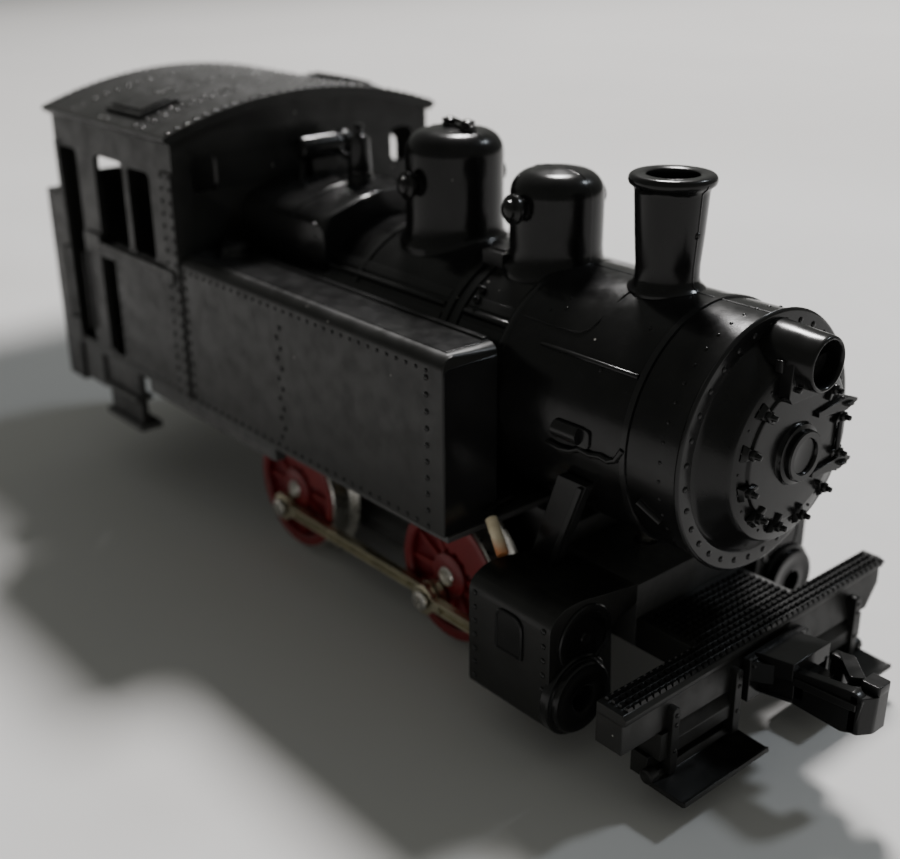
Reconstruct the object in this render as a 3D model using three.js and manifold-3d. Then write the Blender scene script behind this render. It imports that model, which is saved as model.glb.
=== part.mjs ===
// A small H0-scale 0-4-0 side-tank steam locomotive, as the separate pieces that it comes apart into.
// Millimetres. +X is forward, +Y the locomotive's left, +Z up. The pieces are drawn from a point on the
// centreline at rail height, midway between the two axles; the whole group is then placed so that its
// origin is under the middle of its length, level with the bottom of the wheel flanges.
import * as THREE from 'three';
import { mergeVertices } from 'three/addons/utils/BufferGeometryUtils.js';
import Module from 'manifold-3d';

const wasm = await Module();
wasm.setup();

// ---------------------------------------------------------------- driving dimensions
const RIGHT = -1; // sides, as the sign of Y
const LEFT = 1;
const FIT = 0.02; // gap left where one fixed piece is shaped round another
const ROUND = 28; // sides of a large round piece
const FINE = 14; // sides of a small round piece
const BOILER_SIDES = 40;

// running gear
const WHEELBASE = 23.2;
const FRONT_AXLE_X = WHEELBASE / 2;
const REAR_AXLE_X = -WHEELBASE / 2;
const TREAD_RADIUS = 6.2;
const FLANGE_DEPTH = 0.9;
const WHEEL_BACK = 7.15; // distance of a wheel's back face from the centreline
const WHEEL_FACE = 10.0;
const FLANGE_WIDTH = 0.6;
const TYRE_BORE = 5.3;
const AXLE_RADIUS = 0.9;
const CRANK = 2.3;
const PIN_RADIUS = 0.5;
const PIN_HEAD_RADIUS = 0.95;
const RIGHT_CRANK_ANGLE = -2.05; // radians from forward, towards up
const QUARTER = Math.PI / 2; // the left crank pins lead the right ones by this
const PIN_CLEARANCE = 0.3;
const ROD_HEIGHT = 1.15;
const ROD_EYE_RADIUS = 1.4;
const SIDE_ROD_IN = 10.35; // inner and outer faces of each rod, from the centreline
const SIDE_ROD_OUT = 11.05;
const MAIN_ROD_IN = 11.3;
const MAIN_ROD_OUT = 12.0;
const PIN_END = 12.5;
const MAIN_ROD_REACH = 11.6; // from the front crank pin to the rod's front tip

// drive
const GEAR_RADIUS = 3.1;
const WORM_RADIUS = 1.5;
const GEAR_GAP = 0.2;
const MOTOR_AXIS = TREAD_RADIUS + GEAR_RADIUS + WORM_RADIUS + GEAR_GAP;
const SHAFT_RADIUS = 0.6;
const MOTOR_RADIUS = 5.0;
const MOTOR_FRONT = -22.6;
const MOTOR_REAR = -36.0;

// frame and deck
const FRAME_HALF = 5.0;
const FRAME_BOTTOM = 3.0;
const KEEPER_BOTTOM = 1.9;
const KEEPER_SCREW_HEAD = 1.5; // radius
const KEEPER_SCREW_SHANK = 0.75;
const SCREW_HEAD_HEIGHT = 0.7;
const FRAME_TOP = 13.4;
const FRAME_REAR = -19.5;
const FRAME_TAIL = 49.2; // how far behind the origin the frame's tail ends
const DECK_HALF = 6.3;
const DECK_TOP = 8.9;
const DECK_BOTTOM = 6.35;
const FOOTPLATE_BOTTOM = 13.5;
const FOOTPLATE_TOP = 14.05;
const REAR_BEAM_BOTTOM = 9.3;

// boiler
const BOILER_AXIS = 23.86;
const BOILER_RADIUS = 9.3;
const SMOKEBOX_RADIUS = 9.65;
const BOILER_BORE = 8.2;
const SMOKEBOX_REAR = 17.5;
const BOILER_FRONT = 35.3;
const BAND = 0.14; // how far a boiler band stands proud
const CHIMNEY_X = 25.14;
const CHIMNEY_TOP = 41.86;
const CHIMNEY_BORE = 1.86;
const SAND_DOME_X = 13.5;
const STEAM_DOME_X = 0.94;
const HEADLIGHT_Z = 31.7;

// superstructure
const HALF_WIDTH = 15.33;
const TANK_INNER = 9.75;
const TANK_FRONT = 17.5;
const TANK_TOP = 29.0;
const TANK_BOTTOM = 14.1;
const CAB_FRONT = -21.1;
const CAB_REAR = -46.4;
const CAB_WALL = 1.0;
const BUNKER_REAR = -50.2;
const BUNKER_TOP = 31.0;
const ROOF_HALF = 16.2;
const ROOF_CROWN = 43.2;
const ROOF_THICKNESS = 1.0;

// front end
const BEAM_FRONT = 38.06;
const BEAM_REAR = 35.15;
const BEAM_HALF = 16.5;
const BEAM_BOTTOM = 6.1;
const CYLINDER_REAR = 21.55;
const CYLINDER_FRONT = 29.78;
const CYLINDER_OUTER = 15.78;
const CYLINDER_INNER = 8.8;
const CYLINDER_TOP = 12.9;
const CYLINDER_BOTTOM = 3.3;
const COVER_Y = 13.06;
const COVER_Z = 5.16;
const COVER_RADIUS = 3.0;
const CHEST_Y = 12.1;
const CHEST_Z = 9.6;
const COUPLER_Z = 7.2;
const COUPLER_FRONT = 48.6;
const PIVOT_SETBACK = 2.1; // from a coupler pocket's back to its post
const POCKET_LENGTH = 4.0;

// ---------------------------------------------------------------- shapes
// Rotations that stand a piece drawn along +Y or +Z along another axis.
const TURN = {
  lathe: {
    x: new THREE.Matrix4().makeBasis(axis(0, 0, 1), axis(1, 0, 0), axis(0, 1, 0)),
    y: new THREE.Matrix4(),
    z: new THREE.Matrix4().makeBasis(axis(0, 1, 0), axis(0, 0, 1), axis(1, 0, 0)),
  },
  outline: {
    x: new THREE.Matrix4().makeBasis(axis(0, 1, 0), axis(0, 0, 1), axis(1, 0, 0)),
    y: new THREE.Matrix4().makeBasis(axis(1, 0, 0), axis(0, 0, 1), axis(0, -1, 0)),
    z: new THREE.Matrix4(),
  },
};

function axis(x, y, z) {
  return new THREE.Vector3(x, y, z);
}

// A closed three.js geometry as a solid that can be joined and cut.
function solid(geometry) {
  const bare = geometry.clone();
  bare.deleteAttribute('normal');
  bare.deleteAttribute('uv');
  const welded = mergeVertices(bare, 1e-4);
  return new wasm.Manifold(
    new wasm.Mesh({
      numProp: 3,
      vertProperties: new Float32Array(welded.attributes.position.array),
      triVerts: new Uint32Array(welded.index.array),
    }),
  );
}

function joined(...solids) {
  return solids.reduce((whole, piece) => whole.add(piece));
}

function cut(whole, ...tools) {
  return tools.reduce((left, tool) => left.subtract(tool), whole);
}

// A block between two opposite corners, given as [low, high] along each axis in either order.
function block([x0, x1], [y0, y1], [z0, z1]) {
  const box = new THREE.BoxGeometry(Math.abs(x1 - x0), Math.abs(y1 - y0), Math.abs(z1 - z0));
  return solid(box.translate((x0 + x1) / 2, (y0 + y1) / 2, (z0 + z1) / 2));
}

// A solid of revolution about a line along x, y or z through `at`. The profile is [radius, distance]
// pairs from one end of the axis to the other.
function turned(along, at, profile, sides = ROUND) {
  const points = profile.map(([radius, distance]) => new THREE.Vector2(radius, distance));
  const lathe = new THREE.LatheGeometry(points, sides).applyMatrix4(TURN.lathe[along]);
  return solid(lathe.translate(...at));
}

function bar(along, radius, from, to, at, sides = FINE) {
  return turned(along, at, [[0, from], [radius, from], [radius, to], [0, to]], sides);
}

// A prism: an outline in the plane across `along`, filled from one distance to the other.
// Outline points are (y, z) for a prism along x, (x, z) along y and (x, y) along z.
function prism(along, outline, from, to) {
  const shape = new THREE.Shape(outline.map(([u, v]) => new THREE.Vector2(u, v)));
  const low = Math.min(from, to);
  const depth = Math.abs(to - from);
  const geometry = new THREE.ExtrudeGeometry(shape, { depth, bevelEnabled: false });
  geometry.applyMatrix4(TURN.outline[along]);
  const shift = { x: [low, 0, 0], y: [0, low + depth, 0], z: [0, 0, low] }[along];
  return solid(geometry.translate(...shift));
}

// Points of an arc about (u, v), from one angle to another.
function arc(u, v, radius, start, end, steps = 5) {
  return Array.from({ length: steps + 1 }, (unused, i) => {
    const angle = start + ((end - start) * i) / steps;
    return [u + radius * Math.cos(angle), v + radius * Math.sin(angle)];
  });
}

function mirrorY(side, outline) {
  return outline.map(([y, z]) => [side * y, z]);
}

function bandAt(radius, from, to) {
  return [[radius, from], [radius + BAND, from], [radius + BAND, to], [radius, to]];
}

// The boiler's outside from the cab to the smokebox front, `extra` larger all round.
function boilerOutside(extra) {
  const profile = [
    [BOILER_RADIUS, CAB_FRONT],
    ...bandAt(BOILER_RADIUS, 9.2, 11.0),
    [BOILER_RADIUS, SMOKEBOX_REAR], [SMOKEBOX_RADIUS, SMOKEBOX_REAR],
    ...bandAt(SMOKEBOX_RADIUS, 30.2, 30.8),
    [SMOKEBOX_RADIUS, BOILER_FRONT],
  ];
  return profile.map(([radius, x]) => [radius + extra, x]);
}

// The boiler as a tool that shapes whatever sits on it.
function boilerTool() {
  const profile = [[0, CAB_FRONT - 1], ...boilerOutside(FIT), [0, BOILER_FRONT + 1]];
  return turned('x', [0, 0, BOILER_AXIS], profile, BOILER_SIDES);
}

// ---------------------------------------------------------------- frame
function axleSlot(x) {
  const half = AXLE_RADIUS + 0.3;
  return block([x - half, x + half], [-9, 9], [FRAME_BOTTOM - 1, TREAD_RADIUS + half]);
}

function chassisFrame() {
  const spine = block([FRAME_REAR, CYLINDER_REAR], [-FRAME_HALF, FRAME_HALF], [FRAME_BOTTOM, FRAME_TOP]);
  const saddle = block([CYLINDER_REAR - 2, CYLINDER_FRONT], [-DECK_HALF, DECK_HALF], [DECK_BOTTOM, 11.8]);
  const cradle = block([MOTOR_REAR, FRAME_REAR], [-6, 6], [5.2, MOTOR_AXIS]);
  const tail = block([-FRAME_TAIL, MOTOR_REAR], [-6, 6], [7.6, 10.2]);
  const wellEnds = [REAR_AXLE_X - 4.6, REAR_AXLE_X + 4.6];
  const gearWell = block(wellEnds, [-2.2, 2.2], [FRAME_BOTTOM - 1, FRAME_TOP + 1]);
  const motorBay = bar('x', MOTOR_RADIUS + 0.2, MOTOR_REAR - 1, MOTOR_FRONT + 1, [0, 0, MOTOR_AXIS], ROUND);
  const shaftBore = bar('x', SHAFT_RADIUS + 0.3, MOTOR_FRONT, -6, [0, 0, MOTOR_AXIS]);
  const screwBore = bar('z', 1.05, 5, 20, [CHIMNEY_X, 0, 0]);
  const keeperBore = bar('z', 0.9, 2, 6.5, [0, 0, 0]);
  return cut(
    joined(spine, saddle, cradle, tail),
    axleSlot(FRONT_AXLE_X), axleSlot(REAR_AXLE_X), gearWell, motorBay, shaftBore, screwBore, keeperBore,
  );
}

// The plate that holds the axles in, with its screw's head sunk flush.
function keeperPlate() {
  const plate = block([-16.5, 16.5], [-FRAME_HALF, FRAME_HALF], [KEEPER_BOTTOM, FRAME_BOTTOM]);
  const bore = bar('z', KEEPER_SCREW_SHANK + 0.15, KEEPER_BOTTOM - 1, FRAME_BOTTOM + 1, [0, 0, 0]);
  const seatTop = KEEPER_BOTTOM + SCREW_HEAD_HEIGHT;
  const seat = bar('z', KEEPER_SCREW_HEAD + 0.2, KEEPER_BOTTOM - 1, seatTop, [0, 0, 0]);
  return cut(plate, bore, seat);
}

// A slotted screw pointing up, with the underside of its head at `at`.
function screw(at, headRadius, shankRadius, length) {
  const head = SCREW_HEAD_HEIGHT;
  const profile = [
    [0, -head], [headRadius, -head], [headRadius, 0], [shankRadius, 0], [shankRadius, length], [0, length],
  ];
  const slot = block([at[0] - 0.2, at[0] + 0.2], [-3, 3], [at[2] - head - 1, at[2] - head + 0.3]);
  return cut(turned('z', at, profile, FINE), slot);
}

// ---------------------------------------------------------------- wheels and rods
function crankAngle(side) {
  return side === RIGHT ? RIGHT_CRANK_ANGLE : RIGHT_CRANK_ANGLE + QUARTER;
}

// [x, z] of a crank pin.
function pinPlace(axleX, side) {
  return [axleX + CRANK * Math.cos(crankAngle(side)), TREAD_RADIUS + CRANK * Math.sin(crankAngle(side))];
}

// A profile on one side of the loco, with its distances measured outwards from the centreline.
function outward(side, profile) {
  const signed = profile.map(([radius, distance]) => [radius, side * distance]);
  return side === LEFT ? signed : signed.reverse();
}

function axleBar(x) {
  return bar('y', AXLE_RADIUS, -WHEEL_FACE - 0.3, WHEEL_FACE + 0.3, [x, 0, TREAD_RADIUS]);
}

function tyre(x, side) {
  const flange = TREAD_RADIUS + FLANGE_DEPTH;
  const profile = [
    [TYRE_BORE, WHEEL_BACK], [flange - 0.2, WHEEL_BACK], [flange, WHEEL_BACK + 0.3],
    [TREAD_RADIUS, WHEEL_BACK + FLANGE_WIDTH], [TREAD_RADIUS, WHEEL_FACE], [TYRE_BORE, WHEEL_FACE],
    [TYRE_BORE, WHEEL_BACK],
  ];
  return turned('y', [x, 0, TREAD_RADIUS], outward(side, profile));
}

// The wheel centre: a dished disc with a hub, a boss for the crank pin, and a keyed bore for the axle.
function wheelCentre(x, side) {
  const rim = TYRE_BORE - FIT;
  const web = 4.7;
  const hub = 1.9;
  const profile = [
    [0, WHEEL_BACK + 0.1], [rim, WHEEL_BACK + 0.1], [rim, WHEEL_FACE - 0.15], [web, WHEEL_FACE - 0.15],
    [web, WHEEL_FACE - 0.8], [hub, WHEEL_FACE - 0.8], [hub, WHEEL_FACE], [0, WHEEL_FACE],
  ];
  const [pinX, pinZ] = pinPlace(x, side);
  const boss = turned('y', [pinX, 0, pinZ], outward(side, [
    [0, WHEEL_FACE - 1.5], [1.3, WHEEL_FACE - 1.5], [1.3, WHEEL_FACE], [0, WHEEL_FACE],
  ]), FINE);
  const disc = turned('y', [x, 0, TREAD_RADIUS], outward(side, profile));
  const axleBore = bar('y', AXLE_RADIUS + FIT, -20, 20, [x, 0, TREAD_RADIUS]);
  const pinBore = bar('y', PIN_RADIUS + FIT, -20, 20, [pinX, 0, pinZ]);
  return cut(joined(disc, boss), axleBore, pinBore);
}

function crankPin(x, side) {
  const [pinX, pinZ] = pinPlace(x, side);
  const end = x === FRONT_AXLE_X ? PIN_END : SIDE_ROD_OUT + 0.6;
  const head = end - 0.35;
  const profile = [
    [0, WHEEL_BACK + 0.4], [PIN_RADIUS, WHEEL_BACK + 0.4], [PIN_RADIUS, head],
    [PIN_HEAD_RADIUS, head], [PIN_HEAD_RADIUS, end], [0, end],
  ];
  return turned('y', [pinX, 0, pinZ], outward(side, profile), FINE);
}

function eye(x, z, side, inner, outer) {
  const [from, to] = [side * inner, side * outer].sort((a, b) => a - b);
  return bar('y', ROD_EYE_RADIUS, from, to, [x, 0, z]);
}

function pinHole(x, z) {
  return bar('y', PIN_RADIUS + PIN_CLEARANCE, -20, 20, [x, 0, z]);
}

// The coupling rod between the two crank pins.
function sideRod(side) {
  const [frontX, z] = pinPlace(FRONT_AXLE_X, side);
  const rearX = frontX - WHEELBASE;
  const faces = [side * SIDE_ROD_IN, side * SIDE_ROD_OUT];
  const shank = block([rearX, frontX], faces, [z - ROD_HEIGHT / 2, z + ROD_HEIGHT / 2]);
  const eyes = [rearX, frontX].map((x) => eye(x, z, side, SIDE_ROD_IN, SIDE_ROD_OUT));
  return cut(joined(shank, ...eyes), pinHole(rearX, z), pinHole(frontX, z));
}

// The main rod from the front crank pin into the open back of the cylinder.
function mainRod(side) {
  const [pinX, z] = pinPlace(FRONT_AXLE_X, side);
  const faces = [side * MAIN_ROD_IN, side * MAIN_ROD_OUT];
  const shank = block([pinX, pinX + MAIN_ROD_REACH], faces, [z - ROD_HEIGHT / 2, z + ROD_HEIGHT / 2]);
  return cut(joined(shank, eye(pinX, z, side, MAIN_ROD_IN, MAIN_ROD_OUT)), pinHole(pinX, z));
}

// ---------------------------------------------------------------- drive
function toothed(along, radius, root, teeth, from, to, at) {
  const outline = Array.from({ length: teeth * 2 }, (unused, i) => {
    const angle = (i * Math.PI) / teeth;
    const reach = i % 2 ? root : radius;
    return [reach * Math.cos(angle), reach * Math.sin(angle)];
  });
  const centre = { x: [at[1], at[2]], y: [at[0], at[2]] }[along];
  return prism(along, outline.map(([u, v]) => [u + centre[0], v + centre[1]]), from, to);
}

function axleGear() {
  const gear = toothed('y', GEAR_RADIUS, GEAR_RADIUS - 0.6, 20, -1.2, 1.2, [REAR_AXLE_X, 0, TREAD_RADIUS]);
  return cut(gear, bar('y', AXLE_RADIUS + FIT, -9, 9, [REAR_AXLE_X, 0, TREAD_RADIUS]));
}

// The worm's thread is drawn as a run of closed ridges, which is how its side looks.
function worm() {
  const ridges = 4;
  const length = 6.4;
  const start = REAR_AXLE_X - length / 2;
  const pitch = length / ridges;
  const profile = [[0, start]];
  for (let i = 0; i < ridges; i += 1) {
    const base = start + i * pitch;
    profile.push([1.0, base], [WORM_RADIUS, base + pitch * 0.35], [WORM_RADIUS, base + pitch * 0.65]);
  }
  profile.push([1.0, start + length], [0, start + length]);
  const threads = turned('x', [0, 0, MOTOR_AXIS], profile, FINE);
  return cut(threads, bar('x', SHAFT_RADIUS + FIT, -30, 0, [0, 0, MOTOR_AXIS]));
}

function motorShaft() {
  return bar('x', SHAFT_RADIUS, MOTOR_REAR - 1.2, REAR_AXLE_X + 4.2, [0, 0, MOTOR_AXIS]);
}

function motorCase() {
  const can = bar('x', MOTOR_RADIUS, MOTOR_REAR, MOTOR_FRONT, [0, 0, MOTOR_AXIS], ROUND);
  const nose = bar('x', 1.6, MOTOR_FRONT - 1, MOTOR_FRONT + 0.9, [0, 0, MOTOR_AXIS]);
  return cut(joined(can, nose), bar('x', SHAFT_RADIUS + 0.25, -60, 0, [0, 0, MOTOR_AXIS]));
}

// ---------------------------------------------------------------- boiler
function boilerShell() {
  const profile = [
    [BOILER_BORE, CAB_FRONT], ...boilerOutside(0), [BOILER_BORE, BOILER_FRONT], [BOILER_BORE, CAB_FRONT],
  ];
  const shell = turned('x', [0, 0, BOILER_AXIS], profile, BOILER_SIDES);
  return cut(shell, bar('z', 0.9, 10, 20, [CHIMNEY_X, 0, 0]));
}

// The smokebox front: a riveted ring, a dished door, its hub and the dogs that hold it shut.
function smokeboxFront() {
  const x = BOILER_FRONT;
  const profile = [
    [0, x - 1.2], [BOILER_BORE - 0.15, x - 1.2], [BOILER_BORE - 0.15, x + FIT], [9.98, x + FIT],
    [9.98, x + 0.35],
    [8.3, x + 0.4], [7.4, x + 1.2], [6.76, x + 2.4], [5.2, x + 2.5], [5.1, x + 2.75], [2.35, x + 2.8],
    [1.9, x + 3.75], [1.3, x + 3.75], [1.2, x + 3.45], [0, x + 3.45],
  ];
  let front = turned('x', [0, 0, BOILER_AXIS], profile, BOILER_SIDES);
  for (let k = 0; k < 12; k += 1) {
    const angle = ((k + 0.5) * Math.PI) / 6;
    const dog = new THREE.BoxGeometry(0.9, 1.0, 0.5);
    dog.translate(x + 2.9, 5.15, 0).rotateX(angle).translate(0, 0, BOILER_AXIS);
    front = front.add(solid(dog));
  }
  const hingeRod = bar('z', 0.22, BOILER_AXIS - 3.4, BOILER_AXIS + 3.4, [x + 3.0, 6.6, 0], 8);
  const straps = [-2.4, 2.4].map((rise) => {
    const z = BOILER_AXIS + rise;
    return block([x + 2.3, x + 3.1], [4, 6.7], [z - 0.3, z + 0.3]);
  });
  return joined(front, hingeRod, ...straps);
}

function headlight(behind) {
  const at = [0, 0, HEADLIGHT_Z];
  const lamp = bar('x', 1.9, BOILER_FRONT + 0.1, 40.0, at, 24);
  const hollow = bar('x', 1.4, 38.0, 41, at, 24);
  const skirtOutline = [[-1.7, HEADLIGHT_Z], [1.7, HEADLIGHT_Z], [1.9, 28.6], [-1.9, 28.6]];
  const skirt = prism('x', skirtOutline, BOILER_FRONT + 0.1, 38.2);
  return cut(joined(cut(lamp, hollow), skirt), behind);
}

function chimney() {
  const profile = [
    [0, 30], [3.6, 30], [3.5, 33.6], [2.65, 34.3], [2.4, 35.2], [2.65, 40.7], [3.1, 41.1], [3.19, 41.4],
    [3.1, CHIMNEY_TOP], [CHIMNEY_BORE, CHIMNEY_TOP], [CHIMNEY_BORE, 36], [0, 36],
  ];
  return cut(turned('z', [CHIMNEY_X, 0, 0], profile), boilerTool());
}

// A dome: a flared foot on the boiler, a straight wall, a rounded cap, and a knob on each side.
function dome(x, radius, top) {
  const cap = 2.0;
  const profile = [
    [0, 28], [radius + 0.9, 28], [radius + 0.9, 32.6], [radius + 0.15, 33.6], [radius, 34.4],
    ...arc(radius - cap, top - cap, cap, 0, Math.PI / 2), [0, top],
  ];
  const knobs = [RIGHT, LEFT].map((side) => turned('y', [x, 0, 37.8], outward(side, [
    [0, radius - 1], [0.7, radius - 1], [0.7, radius + 0.3], [1.0, radius + 0.5], [1.0, radius + 1.1],
    [0.6, radius + 1.4], [0, radius + 1.4],
  ]), 12));
  return cut(joined(turned('z', [x, 0, 0], profile), ...knobs), boilerTool());
}

function safetyValves(below) {
  const bridge = block([STEAM_DOME_X - 0.9, STEAM_DOME_X + 2.2], [-0.35, 0.35], [41.9, 42.5]);
  const valves = [-0.3, 1.8].map((step) => turned('z', [STEAM_DOME_X + step, 0, 0], [
    [0, 41.6], [0.55, 41.6], [0.55, 42.6], [0.3, 43.0], [0, 43.0],
  ], 12));
  return cut(joined(bridge, ...valves), below);
}

// The raised casing over the firebox, square-shouldered, ahead of the cab.
function fireboxCasing() {
  const half = 7.8;
  const corner = 1.7;
  const outline = [
    [half, 28], ...arc(half - corner, 32.6, corner, 0, Math.PI / 2), [3.2, 35.1], [0, 35.4], [-3.2, 35.1],
    ...arc(corner - half, 32.6, corner, Math.PI / 2, Math.PI), [-half, 28],
  ];
  return cut(prism('x', outline, CAB_FRONT + FIT, -7.6), boilerTool());
}

function turboGenerator(below) {
  const drum = turned('y', [-18.4, 0, 37.6], [
    [0, -3.0], [0.7, -3.0], [1.0, -2.6], [1.0, 2.0], [1.35, 2.1], [1.35, 2.9], [0, 2.9],
  ], 20);
  const foot = block([-19.0, -17.8], [-1.8, 1.2], [34, 37.2]);
  return cut(joined(drum, foot), below);
}

function whistle(below) {
  const profile = [
    [0, 34], [0.6, 34], [0.6, 36.6], [0.95, 36.8], [0.95, 39.4], [0.7, 39.7], [0.35, 39.8], [0.35, 40.8],
    [0, 40.8],
  ];
  return cut(turned('z', [-12, 0, 0], profile, 16), below);
}

// ---------------------------------------------------------------- tanks, cab and footplate
function sideTank(side) {
  const edge = 1.0;
  const outline = mirrorY(side, [
    [TANK_INNER, TANK_BOTTOM], [HALF_WIDTH, TANK_BOTTOM],
    ...arc(HALF_WIDTH - edge, TANK_TOP - edge, edge, 0, Math.PI / 2), [TANK_INNER, TANK_TOP],
  ]);
  return prism('x', outline, CAB_FRONT + FIT, TANK_FRONT);
}

// The roof's underside or top, as (y, z) points from the right eaves to the left.
function roofArch(half, crown, sag) {
  const radius = (half * half + sag * sag) / (2 * sag);
  const sweep = Math.asin(half / radius);
  return arc(0, crown - radius, radius, Math.PI / 2 + sweep, Math.PI / 2 - sweep, 12);
}

function cabOpening(x0, x1, z0, z1) {
  return block([x0, x1], [-20, 20], [z0, z1]);
}

function cabBody() {
  const under = roofArch(HALF_WIDTH, ROOF_CROWN - ROOF_THICKNESS - FIT, 2.7);
  const outline = [[-HALF_WIDTH, TANK_BOTTOM], ...under, [HALF_WIDTH, TANK_BOTTOM]];
  const outer = prism('x', outline, CAB_REAR, CAB_FRONT);
  const inside = block(
    [CAB_REAR + CAB_WALL, CAB_FRONT - CAB_WALL], [CAB_WALL - HALF_WIDTH, HALF_WIDTH - CAB_WALL], [0, 60],
  );
  const backhead = block([CAB_FRONT - 2, CAB_FRONT + 1], [-8, 8], [0, 32]);
  const spectacles = [RIGHT, LEFT].map((side) =>
    block([CAB_FRONT - 2, CAB_FRONT + 1], [side * 10.4, side * 13.4], [34.6, 38.2]),
  );
  const rearWindows = [RIGHT, LEFT].map((side) =>
    block([CAB_REAR - 1, CAB_REAR + 2], [side * 6, side * 11.5], [33, 37.5]),
  );
  return cut(
    outer, inside, backhead, ...spectacles, ...rearWindows,
    cabOpening(-45.3, -41.4, 15, 36.4), cabOpening(-37.5, -35.0, 15, 27.6),
    cabOpening(-37.5, -31.2, 27.6, 36.6), cabOpening(-29.4, -25.0, 27.6, 36.2),
  );
}

// The arched roof, with side bands that hang down over the cab sides.
function cabRoof() {
  const top = roofArch(ROOF_HALF, ROOF_CROWN, 3.0);
  const under = roofArch(HALF_WIDTH, ROOF_CROWN - ROOF_THICKNESS, 2.7).reverse();
  const skirt = 37.0;
  const outline = [
    [-ROOF_HALF, skirt], ...top, [ROOF_HALF, skirt],
    [HALF_WIDTH + FIT, skirt], [HALF_WIDTH + FIT, under[0][1]], ...under.slice(1, -1),
    [-HALF_WIDTH - FIT, under[0][1]], [-HALF_WIDTH - FIT, skirt],
  ];
  const shell = prism('x', outline, CAB_REAR - 0.4, CAB_FRONT + 0.5);
  const hatches = [RIGHT, LEFT].map((side) =>
    prism('x', mirrorY(side, [[5.0, 41.2], [9.4, 41.2], [9.4, 42.35], [5.0, 43.1]]), -30, -22.6),
  );
  const roofMiddle = roofArch(ROOF_HALF, ROOF_CROWN - ROOF_THICKNESS / 2, 3.0).reverse();
  const belowRoof = prism('x', [[-20, 30], [20, 30], ...roofMiddle], CAB_REAR, CAB_FRONT + 10);
  return joined(shell, ...hatches.map((hatch) => cut(hatch, belowRoof)));
}

function bunker() {
  const ends = [BUNKER_REAR, CAB_REAR - FIT];
  const box = block(ends, [-HALF_WIDTH, HALF_WIDTH], [REAR_BEAM_BOTTOM, BUNKER_TOP]);
  const hopper = block([BUNKER_REAR + 0.9, CAB_REAR + 1], [-HALF_WIDTH + 1, HALF_WIDTH - 1], [22, 40]);
  const drawgear = block([BUNKER_REAR - 1, CAB_REAR + 1], [-6.2, 6.2], [0, 10.4]);
  return cut(box, hopper, drawgear);
}

// The plate under the tanks and cab, with a deeper edge where no wheel turns.
function footplate() {
  const plate = block([CAB_REAR, SMOKEBOX_REAR], [-14.9, 14.9], [FOOTPLATE_BOTTOM, FOOTPLATE_TOP]);
  const valances = [RIGHT, LEFT].map((side) =>
    block([-31, -7], [side * 13.8, side * 14.9], [12.2, FOOTPLATE_TOP]),
  );
  const skirts = [RIGHT, LEFT].map((side) =>
    block([CAB_REAR, -42], [side * 13.8, side * 14.9], [REAR_BEAM_BOTTOM + 0.3, FOOTPLATE_TOP]),
  );
  const motorHole = block([MOTOR_REAR - 2, CAB_FRONT], [-6.5, 6.5], [10, 15]);
  return cut(joined(plate, ...valances, ...skirts), motorHole);
}

function cabStep(side) {
  const riser = block([-41.2, -34.0], [side * 13.9, side * 14.7], [7.4, FOOTPLATE_BOTTOM - FIT]);
  const lower = block([-41.6, -33.6], [side * 12.6, side * 15.2], [6.7, 7.4]);
  const upper = block([-41.2, -34.0], [side * 13.2, side * 15.2], [10.0, 10.6]);
  return joined(riser, lower, upper);
}

// ---------------------------------------------------------------- cylinders and front end
function cylinderBlock(side) {
  const outer = CYLINDER_OUTER;
  const inner = CYLINDER_INNER;
  const body = mirrorY(side, [
    [inner, CYLINDER_BOTTOM], [outer - 0.6, CYLINDER_BOTTOM], [outer, CYLINDER_BOTTOM + 0.6],
    [outer, CYLINDER_TOP - 0.9], [outer - 0.5, CYLINDER_TOP - 0.25], [outer - 1.3, CYLINDER_TOP],
    [12.5, CYLINDER_TOP],
    [DECK_HALF + FIT, 11.9], [DECK_HALF + FIT, 10.2], [inner, 9.4],
  ]);
  const heel = 1.6;
  const heelCut = prism('y', [
    [CYLINDER_REAR - 1, CYLINDER_BOTTOM - 1], [CYLINDER_REAR + heel, CYLINDER_BOTTOM - 1],
    [CYLINDER_REAR + heel, CYLINDER_BOTTOM], [CYLINDER_REAR, CYLINDER_BOTTOM + heel],
    [CYLINDER_REAR - 1, CYLINDER_BOTTOM + heel],
  ], side * 20, side * 5);
  const room = CRANK + 1.4;
  const rodRoom = block(
    [CYLINDER_REAR - 1, FRONT_AXLE_X + CRANK + MAIN_ROD_REACH + 1.2],
    [side * (MAIN_ROD_IN - 0.4), side * (MAIN_ROD_OUT + 0.5)],
    [TREAD_RADIUS - room, TREAD_RADIUS + room],
  );
  const chestAt = [0, side * CHEST_Y, CHEST_Z];
  const chest = bar('x', 3.0, CYLINDER_FRONT - 1, CYLINDER_FRONT + 0.35, chestAt, ROUND);
  const coverSeat = bar('x', COVER_RADIUS + 0.1, CYLINDER_FRONT, 40, [0, side * COVER_Y, COVER_Z], ROUND);
  const casting = joined(prism('x', body, CYLINDER_REAR, CYLINDER_FRONT), cut(chest, coverSeat));
  return cut(casting, heelCut, rodRoom);
}

function cylinderCover(side) {
  const x = CYLINDER_FRONT + FIT;
  const profile = [
    [0, x], [COVER_RADIUS, x], [COVER_RADIUS, x + 0.55], [2.7, x + 0.8], [2.1, x + 0.85], [2.0, x + 1.1],
    [1.2, x + 1.1], [1.2, x + 0.4], [0, x + 0.4],
  ];
  return turned('x', [0, side * COVER_Y, COVER_Z], profile, 24);
}

// A flat brace from the smokebox's side down to the cylinder saddle.
function smokeboxBrace(side) {
  const outline = [[22.4, 12.75], [25.0, 12.75], [27.4, 20.4], [24.4, 20.4]];
  const brace = prism('y', outline, side * 9.0, side * 10.0);
  return cut(brace, boilerTool());
}

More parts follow.
